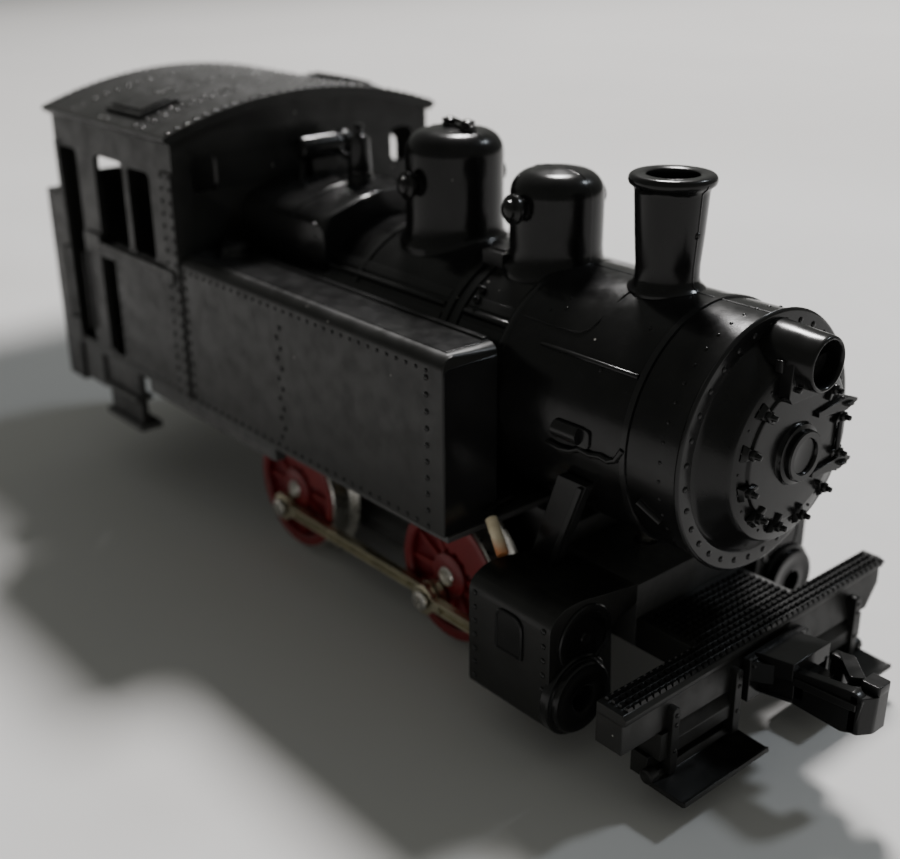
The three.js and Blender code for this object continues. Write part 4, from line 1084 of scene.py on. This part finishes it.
def bunker():
    """An open bunker behind the cab, with rivets round its back and a ladder on it."""
    shape = Extent("bunker")
    wall, half = 0.9, shape.y1
    rear, low, high = shape.x0, shape.z0, shape.z1
    inside = (rear + wall - 0.1, shape.x1)
    bm = bmesh.new()
    prism(bm, "x", rounded(rectangle(-half, half, low, high), 0.25), rear, rear + wall)
    for side, _ in SIDES:
        box(bm, inside, (side * (half - wall), side * half), (low, high))
    box(bm, inside, (-half + wall, half - wall), (low + 11.8, low + 12.8))
    piece("bunker_shell", bm, "satin_black", stands_for="bunker", bevel=0.14)
    bm = bmesh.new()
    out = (-1, 0, 0)
    rivets = (1.4, 0.14)  # pitch and radius
    for z in (low + 0.9, high - 1.0):
        rivet_row(bm, (rear, -half + 1, z), (rear, half - 1, z), out, *rivets)
    for side, _ in SIDES:
        edge, face = side * (half - 1), side * half
        rivet_row(bm, (rear, edge, low + 2.2), (rear, edge, high - 2.3), out, *rivets)
        rivet_row(bm, (rear + 0.8, face, low + 1), (rear + 0.8, face, high - 1), (0, side, 0), *rivets)
    rails, stand_off = (11.2, 13.4), rear - 0.55
    for z in (14.0, 18.0, 22.0, 26.0):
        tube(bm, [(stand_off, y, z) for y in rails], 0.17, 8)
    for y in rails:
        tube(bm, [(stand_off, y, 12.5), (stand_off, y, 28.0)], 0.17, 8)
        for z in (12.7, 27.8):
            tube(bm, [(rear + 0.1, y, z), (rear - 0.6, y, z)], 0.15, 8)
    piece("bunker_rivets_and_ladder", bm, "satin_black")


# ------------------------------------------------------------------ cylinders and front end
def cylinder(side, word):
    """The cylinder block: solid in front, open behind where the main rod swings."""
    shape = Extent(f"cylinder_block_{word}")
    rear, front = shape.x0 - 0.6, CYLINDER_FRONT
    inner, outer, bottom, top = 8.8, shape.outer, shape.z0 - 0.35, shape.z1
    bm = bmesh.new()
    outline = [
        (inner, bottom), (outer, bottom), (outer, top - 0.9), (outer - 1.4, top), (12.5, top + 0.05),
        (10.35, top - 0.35), (8.15, top - 0.7), (6.32, top - 1.0), (6.32, top - 2.6),
        (inner + 0.3, top - 3.6),
    ]
    radii = [0.3, 0.5, 0.9, 0.8, 1.0, 1.0, 1.0, 0.1, 0.1, 0.6]
    prism(bm, "x", flipped(side, rounded(outline, radii)), rear, front)
    round_edges(bm, lambda p: abs(p.x - rear) < NEAR and p.z < bottom + 0.05, 1.7, 6)
    swing = 3.9
    cutter = bmesh.new()
    room = (REAR_AXLE.z - swing, REAR_AXLE.z + swing)
    box(cutter, (rear - 1, 26.9), (side * 10.95, side * 12.45), room)
    piece(f"cylinder_casting_{word}", carve(bm, cutter), "satin_black", stands_for=shape.node, bevel=0.1)
    bm = bmesh.new()
    face = side * outer
    for x in (rear + 0.7, front - 0.65):
        rivet_row(bm, (x, face, bottom + 0.9), (x, face, top - 1.6), (0, side, 0), 1.25, 0.27)
    plate = rounded(rectangle(24.2, 26.9, 7.8, 11.2), [0.15, 0.15, 1.0, 0.8])
    prism(bm, "y", plate, face - side * 0.3, face + side * 0.12)
    tube(bm, [(x, face + side * 0.1, z) for x, z in [*plate, plate[0]]], 0.13, 8)
    piece(f"cylinder_rivets_{word}", bm)


def cylinder_ends(side, word):
    """The steam chest's plain lid and, below it, the cylinder's stepped cover with its hole."""
    cover = Extent(f"cylinder_cover_{word}")
    lid = [(0, -0.5), (2.8, -0.5), (2.8, 0.12), (2.7, 0.2), (2.25, 0.2), (2.15, 0.12), (0.5, 0.1),
           (0.45, 0.22), (0, 0.24)]
    bm = bmesh.new()
    lathe(bm, "x", (0, side * 12.1, 9.6), offset(CYLINDER_FRONT, lid), 56)
    piece(f"steam_chest_{word}", bm)
    steps = [(0, -0.3), (3.3, -0.3), (3.3, 0.3), (3.2, 0.42), (3.0, 0.44), (2.92, 0.5), (2.9, 0.85),
             (2.78, 0.98)]
    hub = [(2.3, 1.0), (2.2, 0.96), (1.3, 0.96), (1.16, 1.0), (1.05, 0.95), (0.98, 0.7), (0.92, 0.1),
           (0, 0.05)]
    bm = bmesh.new()
    lathe(bm, "x", (0, cover.y, cover.z), offset(CYLINDER_FRONT, steps + hub), 72)
    piece(f"cylinder_end_{word}", bm, stands_for=cover.node)


def tread_studs(bm, x0, x1, half, z):
    """Rows of small raised bars across a tread plate."""
    rows = round((x1 - x0) / STUD_PITCH_X)
    columns = int(half / STUD_PITCH_Y)
    corners = ((-1, -1), (1, -1), (1, 1), (-1, 1))
    for i in range(rows + 1):
        for k in range(-columns, columns + 1):
            x = x0 + i * STUD_PITCH_X
            y = k * STUD_PITCH_Y
            foot = [(x + a * 0.21, y + b * 0.29, z - 0.03) for a, b in corners]
            top = [(x + a * 0.12, y + b * 0.21, z + 0.24) for a, b in corners]
            frustum(bm, foot, top)


def pilot_beam():
    """The beam with its full near end, bevelled far end and sloped lip, and the deck behind it."""
    front, half, top, bottom = BEAM.x1, BEAM.y1, BEAM.z1, BEAM.z0 - 0.55
    rear = front - LIP_DEPTH
    bm = bmesh.new()
    face = [(-half, bottom), (half - 3.0, bottom), (half, bottom + 0.9), (half, top - 0.75),
            (-half, top - 0.75)]
    prism(bm, "x", face, rear, front - 0.28)
    lip = [(rear, top), (front - 0.3, top), (front, top - 0.35), (front, top - 0.72),
           (front - 0.28, top - 0.95), (rear, top - 0.95)]
    prism(bm, "y", lip, -half, half)
    for vert in bm.verts:
        if vert.co.x > front - 0.5 and abs(vert.co.y) > half - NEAR:
            vert.co.x -= 0.9 if vert.co.y > 0 else 0.15
    box(bm, (BEAM.x0, rear + 0.4), (-6.3, 6.3), (BEAM.z0 + 0.25, top))
    piece("beam_and_deck", bm, "satin_black", stands_for="pilot_beam", bevel=0.08)


def beam_studs():
    """The tread on the beam's lip and on the deck behind it."""
    bm = bmesh.new()
    rear = BEAM.x1 - LIP_DEPTH
    tread_studs(bm, rear + 0.4, BEAM.x1 - 0.6, BEAM.y1 - 0.4, BEAM.z1)
    tread_studs(bm, BEAM.x0 + 0.9, rear, 6.0, BEAM.z1)
    piece("beam_tread_studs", bm)


def front_step(side, word):
    """One footstep: a block under the beam, two hangers with rivets, a riser and a dished tray."""
    shape = Extent(f"front_step_{word}")
    face = shape.x0 + 0.15
    y_in, y_out = 3.9, 13.3
    hangers = (4.2, 11.4)
    bm = bmesh.new()
    slope = [(face - 2.6, 6.0), (face - 1.0, 6.0), (face, 4.5), (face, 3.35), (face - 0.7, 3.3),
             (face - 2.6, 3.3)]
    prism(bm, "y", slope, side * y_in, side * 11.8)
    box(bm, (face - 2.6, face), (side * 11.8, side * 12.6), (3.3, 5.6))
    box(bm, (face - 2.4, face - 0.8), (side * y_in, side * (y_out - 0.3)), (1.5, 3.4))
    low = 1.3
    tray = [(face - 0.9, low), (face + 2.7, low - 0.1), (face + 3.0, low + 0.1), (face + 2.9, low + 0.45),
            (face + 2.6, low + 0.35), (face - 0.1, low + 0.5), (face - 0.3, low + 1.0),
            (face - 0.9, low + 1.05)]
    prism(bm, "y", tray, side * 3.5, side * 13.2)
    roller = [(0, 12.6), (0.62, 12.6), (0.62, 13.35), (0.5, 13.45), (0, 13.45)]
    lathe(bm, "y", (face - 0.55, 0, low + 0.75), mirrored(side, roller), 20)
    for y in hangers:
        outline = rounded(rectangle(y - 0.4, y + 0.4, 1.9, 7.5), [0.1, 0.1, 0.38, 0.38])
        prism(bm, "x", flipped(side, outline), face - 0.6, face + 0.3)
    piece(f"step_{word}", bm, "satin_black", stands_for=shape.node, bevel=0.06)
    bm = bmesh.new()
    for y in hangers:
        for z in (6.9, 6.1, 3.9):
            rivet(bm, (face + 0.3, side * y, z), (1, 0, 0), 0.2)
    piece(f"step_rivets_{word}", bm)


def coupler_pocket(end, word):
    """The box on the beam that holds the coupler: a thick roof over thin walls, open in front."""
    shape = Extent(f"coupler_pocket_{word}")
    base = shape.x0 if end > 0 else shape.x1

    def ahead(outline):
        """The outline with its lengths measured from the beam."""
        return [(base + end * u, v) for u, v in outline]

    bm = bmesh.new()
    prism(bm, "y", ahead([(-0.3, 4.4), (0.45, 4.4), (0.45, 8.05), (-0.3, 8.05)]), -3.4, 3.6)
    prism(bm, "y", ahead([(0.0, 6.5), (3.4, 7.3), (3.4, 8.75), (0.0, 8.2)]), -2.35, 2.35)
    wall = ahead([(0.3, 5.0), (3.5, 5.55), (3.5, 7.6), (0.3, 6.8)])
    bolt = [(0, -0.1), (0.3, -0.1), (0.25, 0.2), (0, 0.3)]
    for side, _ in SIDES:
        prism(bm, "y", wall, side * 1.85, side * 2.2)
        prism(bm, "z", ahead([(0.4, side * 2.3), (0.4, side * 3.2), (1.9, side * 2.3)]), 6.2, 7.9)
        stud(bm, (base + end * 0.45, side * 2.9, 7.5), (end, 0, 0), bolt, 8)
    prism(bm, "y", ahead([(0.3, 4.9), (3.5, 5.45), (3.5, 5.75), (0.3, 5.2)]), -2.35, 2.35)
    piece(f"coupler_box_{word}", bm, stands_for=shape.node, bevel=0.07)


def coupler(end, word):
    """The swinging hook coupler: shank, deep near plate, upright nose and the arm across its top."""
    shape = Extent(f"{word}_coupler")
    tip = (shape.x1 if end > 0 else shape.x0) - end * 1.1
    pivot = (shape.x0 + 1.2) if end > 0 else (shape.x1 - 1.2)
    z = 7.2

    def back(outline):
        """The outline with its lengths measured back from the tip."""
        return [(tip - end * u, v) for u, v in outline]

    joint = tip - end * 4.5
    shank = rounded([(pivot, -0.6), (joint, -0.6), (joint, 0.9), (pivot, 0.9)], 0.15)
    bm = bmesh.new()
    prism(bm, "z", shank, z - 0.7, z + 0.2)
    lathe(bm, "z", (pivot, 0, 0), offset(z, [(0.72, -0.72), (1.15, -0.72), (1.15, 0.2), (0.72, 0.2)]), 32)
    plate = [(6.3, 5.2), (1.9, 5.0), (0.9, 5.4), (0.5, 8.3), (1.2, 8.7), (6.1, 8.0)]
    prism(bm, "y", rounded(back(plate), 0.3), -2.0, -1.2)
    prism(bm, "y", back([(6.0, 6.9), (0.9, 7.3), (0.9, 7.9), (6.0, 7.6)]), -2.25, -1.9)
    web = [(6.3, -2.0), (5.2, -2.0), (4.4, 0.9), (6.3, 0.9)]
    nose = [(1.7, -2.0), (0.7, -2.0), (0, -0.9), (0, 0.7), (1.5, 0.7)]
    cap = [(1.5, -0.8), (0, -0.8), (0, 0.7), (1.5, 0.7)]
    arm = [(4.9, 1.5), (3.7, 1.9), (1.5, -0.1), (2.4, -0.8)]
    post = [(5.1, 0.9), (3.9, 0.9), (3.9, 1.8), (5.1, 1.8)]
    for outline, corner, low, high in ((web, 0, -1.4, -0.3), (nose, 0.25, -1.9, 1.2), (cap, 0.2, 1.1, 1.9),
                                       (arm, 0.25, 0.9, 1.7), (post, 0.2, -0.8, 1.6)):
        prism(bm, "z", rounded(back(outline), corner), z + low, z + high)
    piece(f"{word}_coupler_head", bm, "gloss_black", f"{word}_drawhook", shape.node, bevel=0.1)


# ------------------------------------------------------------------ wheels and rods
def axle(end):
    """The axle's shaft, with a chamfer and a centre hole at each end."""
    shape = Extent(f"{end}_axle")
    radius = 0.9
    tip = [(0, 0), (0.3, 0), (0.36, 0.08), (0.62, 0), (radius - 0.12, 0), (radius, 0.12)]
    profile = offset(-shape.y1, tip)
    profile += [(r, -d) for r, d in reversed(profile)]
    bm = bmesh.new()
    lathe(bm, "y", (shape.x, 0, shape.z), profile, 40)
    piece(f"{end}_axle_shaft", bm, "bright_steel", f"{end}_wheelset", f"{end}_axle")


def wheel_tyre(end, side, word):
    """The bright tyre with its flange and coned tread."""
    tyre = Extent(f"{end}_tyre_{word}")
    flange = (tyre.z1 - tyre.z0) / 2
    tread = flange - FLANGE_DEPTH
    inside = [
        (TYRE_BORE, 0), (flange - 0.25, 0), (flange - 0.05, 0.1), (flange, 0.28), (flange - 0.12, 0.45),
        (tread + 0.2, 0.62), (tread + 0.03, 0.85),
    ]
    outside = [(tread - 0.05, -0.35), (tread - 0.15, -0.24), (TYRE_BORE, -0.24)]
    profile = offset(tyre.inner, inside) + offset(tyre.outer, outside)
    bm = bmesh.new()
    lathe(bm, "y", (tyre.x, 0, tyre.z), mirrored(side, profile), 96)
    piece(f"{end}_tyre_ring_{word}", bm, "bright_steel", f"{end}_wheelset", tyre.node)


def spoke(bm, centre, angle, side, face, reach):
    """One tapered spoke, raised from the wheel's web."""
    ray = Vector((math.cos(angle), 0, math.sin(angle)))
    wide = Vector((-math.sin(angle), 0, math.cos(angle)))
    foot, top = Vector((0, side * (face - 0.95), 0)), Vector((0, side * (face - 0.45), 0))
    corners = ((1.9, -0.42, -1), (1.9, 0.42, 1), (reach, 0.3, 1), (reach, -0.3, -1))
    low = [centre + ray * distance + wide * across for distance, across, _ in corners]
    high = [p - wide * (0.12 * sign) + top for p, (_, _, sign) in zip(low, corners)]
    frustum(bm, [p + foot for p in low], high)


def wheel_centre(end, side, word):
    """The red moulding: a rim that covers the tyre's face, spokes, a hub, a crank boss and a weight."""
    tyre = Extent(f"{end}_tyre_{word}")
    pin = Extent(f"{end}_crank_pin_{word}")
    x, z = tyre.x, tyre.z
    back, face = tyre.inner, tyre.outer
    rim = (tyre.z1 - tyre.z0) / 2 - FLANGE_DEPTH - 0.22
    inside = TYRE_BORE - 0.02
    dish = [
        (inside, -0.22), (rim, -0.22), (rim, -0.06), (rim - 0.15, 0), (rim - 0.8, 0), (rim - 0.95, -0.15),
        (rim - 1.0, -0.75), (2.3, -0.85), (2.1, -0.7), (2.05, -0.1), (1.9, 0), (0, 0),
    ]
    profile = offset(back, [(0, 0.1), (inside, 0.1)]) + offset(face, dish)
    bm = bmesh.new()
    lathe(bm, "y", (x, 0, z), mirrored(side, profile), 80)
    for k in range(12):
        spoke(bm, Vector((x, 0, z)), math.radians(30 * k), side, face, rim - 0.9)
    boss = offset(face, [(0, -1.0), (1.35, -1.0), (1.25, -0.05), (1.1, 0), (0, 0)])
    lathe(bm, "y", (pin.x, 0, pin.z), mirrored(side, boss), 40)
    opposite = math.degrees(math.atan2(z - pin.z, x - pin.x))
    weight = arc(x, z, rim - 0.9, opposite - 50, opposite + 50, 10)
    weight += arc(x, z, 2.6, opposite + 38, opposite - 38, 8)
    prism(bm, "y", weight, side * (face - 0.95), side * (face - 0.22))
    piece(f"{end}_wheel_centre_{word}", bm, "wheel_red", f"{end}_wheelset", f"{end}_wheel_{word}")


def crank_bolt(end, side, word):
    """The crank pin with its slotted head outside the rods."""
    pin = Extent(f"{end}_crank_pin_{word}")
    tip = pin.outer
    head = [(0.5, -0.3), (0.9, -0.3), (0.92, -0.18), (0.82, -0.04), (0.6, 0), (0, 0)]
    profile = [(0, pin.inner), (0.5, pin.inner), *offset(tip, head)]
    bm = bmesh.new()
    lathe(bm, "y", (pin.x, 0, pin.z), mirrored(side, profile), 40)
    slot = bmesh.new()
    box(slot, (pin.x - 0.14, pin.x + 0.14), (side * (tip - 0.12), side * (tip + 1)), (pin.z - 2, pin.z + 2))
    piece(f"{end}_crank_bolt_{word}", carve(bm, slot), "bright_steel", f"{end}_wheelset", pin.node, 0.03, 2)


def rod_bar(bm, x0, x1, z, y0, y1, height, eyes):
    """A flat rod from x0 to x1 with a round eye at each place in eyes."""
    half = height / 2
    reach = 1.4
    neck = math.sqrt(reach ** 2 - half ** 2)
    sweep = math.degrees(math.asin(half / reach))
    outline = [(x0 + neck if x0 in eyes else x0, z - half)]
    if x1 in eyes:
        outline += arc(x1, z, reach, 180 + sweep, 540 - sweep, 20)
    else:
        outline += [(x1, z - half), (x1, z + half)]
    if x0 in eyes:
        outline += arc(x0, z, reach, sweep, 360 - sweep, 20)[:-1]
    else:
        outline += [(x0, z + half)]
    prism(bm, "y", outline, y0, y1, [circle(x, z, ROD_BORE, 20) for x in eyes])


def fluted_rod(node, name, body, side, span, eyes, flute):
    """A rod with a long groove in its outer face; span and flute are (from, to) along the rod."""
    shape = Extent(node)
    y0, y1 = side * shape.inner, side * shape.outer
    bm = bmesh.new()
    rod_bar(bm, *span, shape.z, y0, y1, 1.15, eyes)
    cutter = bmesh.new()
    groove = rounded(rectangle(*flute, shape.z - 0.27, shape.z + 0.27), 0.2)
    prism(cutter, "y", groove, y1 - side * 0.25, y1 + side)
    piece(name, carve(bm, cutter), "rod_nickel", body, node, 0.05, 2)


def side_rod(side, word):
    """The rod that joins the two crank pins of one side."""
    rear, front = [Extent(f"{end}_crank_pin_{word}").x for end in ("rear", "front")]
    fluted_rod(f"side_rod_{word}", f"coupling_rod_{word}", f"{word}_side_rod", side, (rear, front),
               [rear, front], (rear + 2.2, front - 2.2))


def main_rod(side, word):
    """The rod from the front crank pin into the cylinder."""
    pin = Extent(f"front_crank_pin_{word}").x
    tip = Extent(f"main_rod_{word}").x1
    fluted_rod(f"main_rod_{word}", f"driving_rod_{word}", f"{word}_main_rod", side, (pin, tip),
               [pin], (pin + 2.2, tip - 1.0))


# ------------------------------------------------------------------ build
for build in (boiler, boiler_ribs, boiler_seams, boiler_clamp, smokebox_rivets, smokebox_side_pipe,
              smokebox_front, smokebox_front_rivets, smokebox_door, headlight, chimney, safety_valves,
              firebox_casing, turbo_generator, whistle, cab_walls, cab_trim, cab_rivets, cab_interior,
              cab_roof, roof_rivets, roof_hatches, bunker, pilot_beam, beam_studs, lamp_wire):
    build()
dome("sand_dome", 3.8)
dome("steam_dome", 4.3)
for side, word in SIDES:
    for build in (side_tank, tank_rivets, tank_fittings, cylinder, cylinder_ends, smokebox_brace,
                  front_step, side_rod, main_rod):
        build(side, word)
    for end in ("front", "rear"):
        for build in (wheel_tyre, wheel_centre, crank_bolt):
            build(end, side, word)
for end in ("front", "rear"):
    axle(end)
for end, word in ((1, "front"), (-1, "rear")):
    coupler_pocket(end, word)
    coupler(end, word)

KEPT = {
    "frame_black": ["chassis_frame", "keeper_plate", "footplate", "cab_step_right", "cab_step_left"],
    "bright_steel": ["keeper_screw", "body_screw", "motor_case", "motor_shaft"],
    "gear_brass": ["worm", "axle_gear", "pickup_strip_right", "pickup_strip_left"],
}
for finish, nodes in KEPT.items():
    for node in nodes:
        keep(node, finish)


# ------------------------------------------------------------------ stage
# Everything on the stage is in metres, in the placed frame.
SUBJECT = Vector((0.01, -0.01, 0.01))
FLOOR_HALF = 2.0
KEY_WAY = Vector((-0.54, 0.59, 1.0)).normalized()
COOL_WAY = Vector((0.24, 0.66, 0.72)).normalized()
ROOM_COLOR, ROOM_STRENGTH = (0.98, 1.0, 0.93, 1.0), 0.18
BOARD_SHADOW, BOARD_SIZE, BOARD_LIFT = Vector((-0.055, -0.003, 0)), 0.068, 0.1
CAMERA_PLACE = Vector((0.08937, -0.0712, 0.0614))
CAMERA_TARGET = Vector((0.00597, 0, 0.0145))
CAMERA_ROLL = -0.46
FOCAL_LENGTH = 50.06
FOCUS_DISTANCE = 0.086


def stage():
    """A plain floor under the wheels."""
    bm = bmesh.new()
    bmesh.ops.create_grid(bm, x_segments=8, y_segments=8, size=FLOOR_HALF)
    floor = placed("floor", meshed("floor", bm))
    floor.location = (0, 0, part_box("front_tyre_right")[0].z)
    floor.data.materials.append(pale_floor("pale_floor"))


def aim(obj, place, target):
    """Puts an object at a place and turns it towards a target."""
    obj.location = place
    obj.rotation_euler = (Vector(target) - Vector(place)).to_track_quat("-Z", "Y").to_euler()


def spot(name, place, target, radius, power, color, cone, blend):
    """A round lamp that lights a cone of the given angle, in degrees."""
    lamp = bpy.data.lights.new(name, "SPOT")
    lamp.shadow_soft_size = radius
    lamp.energy = power
    lamp.color = color
    lamp.spot_size = math.radians(cone)
    lamp.spot_blend = blend
    aim(placed(name, lamp), place, target)


def shade_board():
    """A board out of the picture that keeps the key lamp off part of the floor."""
    bm = bmesh.new()
    bmesh.ops.create_grid(bm, x_segments=1, y_segments=1, size=BOARD_SIZE / 2)
    board = placed("shade_board", meshed("shade_board", bm))
    board.location = BOARD_SHADOW + KEY_WAY * BOARD_LIFT
    board.visible_camera = False
    board.visible_glossy = False
    board.visible_diffuse = False
    board.data.materials.append(FINISHES["satin_black"])


def lights():
    """A large lamp behind the locomotive, a small cool one above its left, and an even room."""
    world = bpy.data.worlds.new("studio")
    bpy.context.scene.world = world
    world.use_nodes = True
    background = world.node_tree.nodes["Background"]
    background.inputs["Color"].default_value = ROOM_COLOR
    background.inputs["Strength"].default_value = ROOM_STRENGTH
    key_place, cool_place = SUBJECT + KEY_WAY * 2.5, SUBJECT + COOL_WAY * 0.5
    beyond = (0.3, 0.35, 0)
    spot("key", key_place, beyond, radius=0.25, power=440.0, color=(1.0, 0.975, 0.965), cone=60, blend=1.0)
    spot("cool", cool_place, SUBJECT, radius=0.03, power=2.2, color=(0.85, 0.92, 1.0), cone=60, blend=0.5)
    shade_board()


def camera():
    """The camera in front of the right-hand side, and an empty on its line of sight that it focuses on."""
    lens = bpy.data.cameras.new("camera")
    lens.lens = FOCAL_LENGTH
    lens.sensor_width = 36
    lens.clip_start = 0.005
    obj = placed("camera", lens)
    aim(obj, CAMERA_PLACE, CAMERA_TARGET)
    obj.rotation_euler.rotate_axis("Z", math.radians(CAMERA_ROLL))
    focus = placed("focus", None)
    focus.location = CAMERA_PLACE + (CAMERA_TARGET - CAMERA_PLACE).normalized() * FOCUS_DISTANCE
    focus.empty_display_size = MM
    lens.dof.use_dof = True
    lens.dof.focus_object = focus
    lens.dof.aperture_fstop = 36
    bpy.context.scene.camera = obj


stage()
lights()
camera()
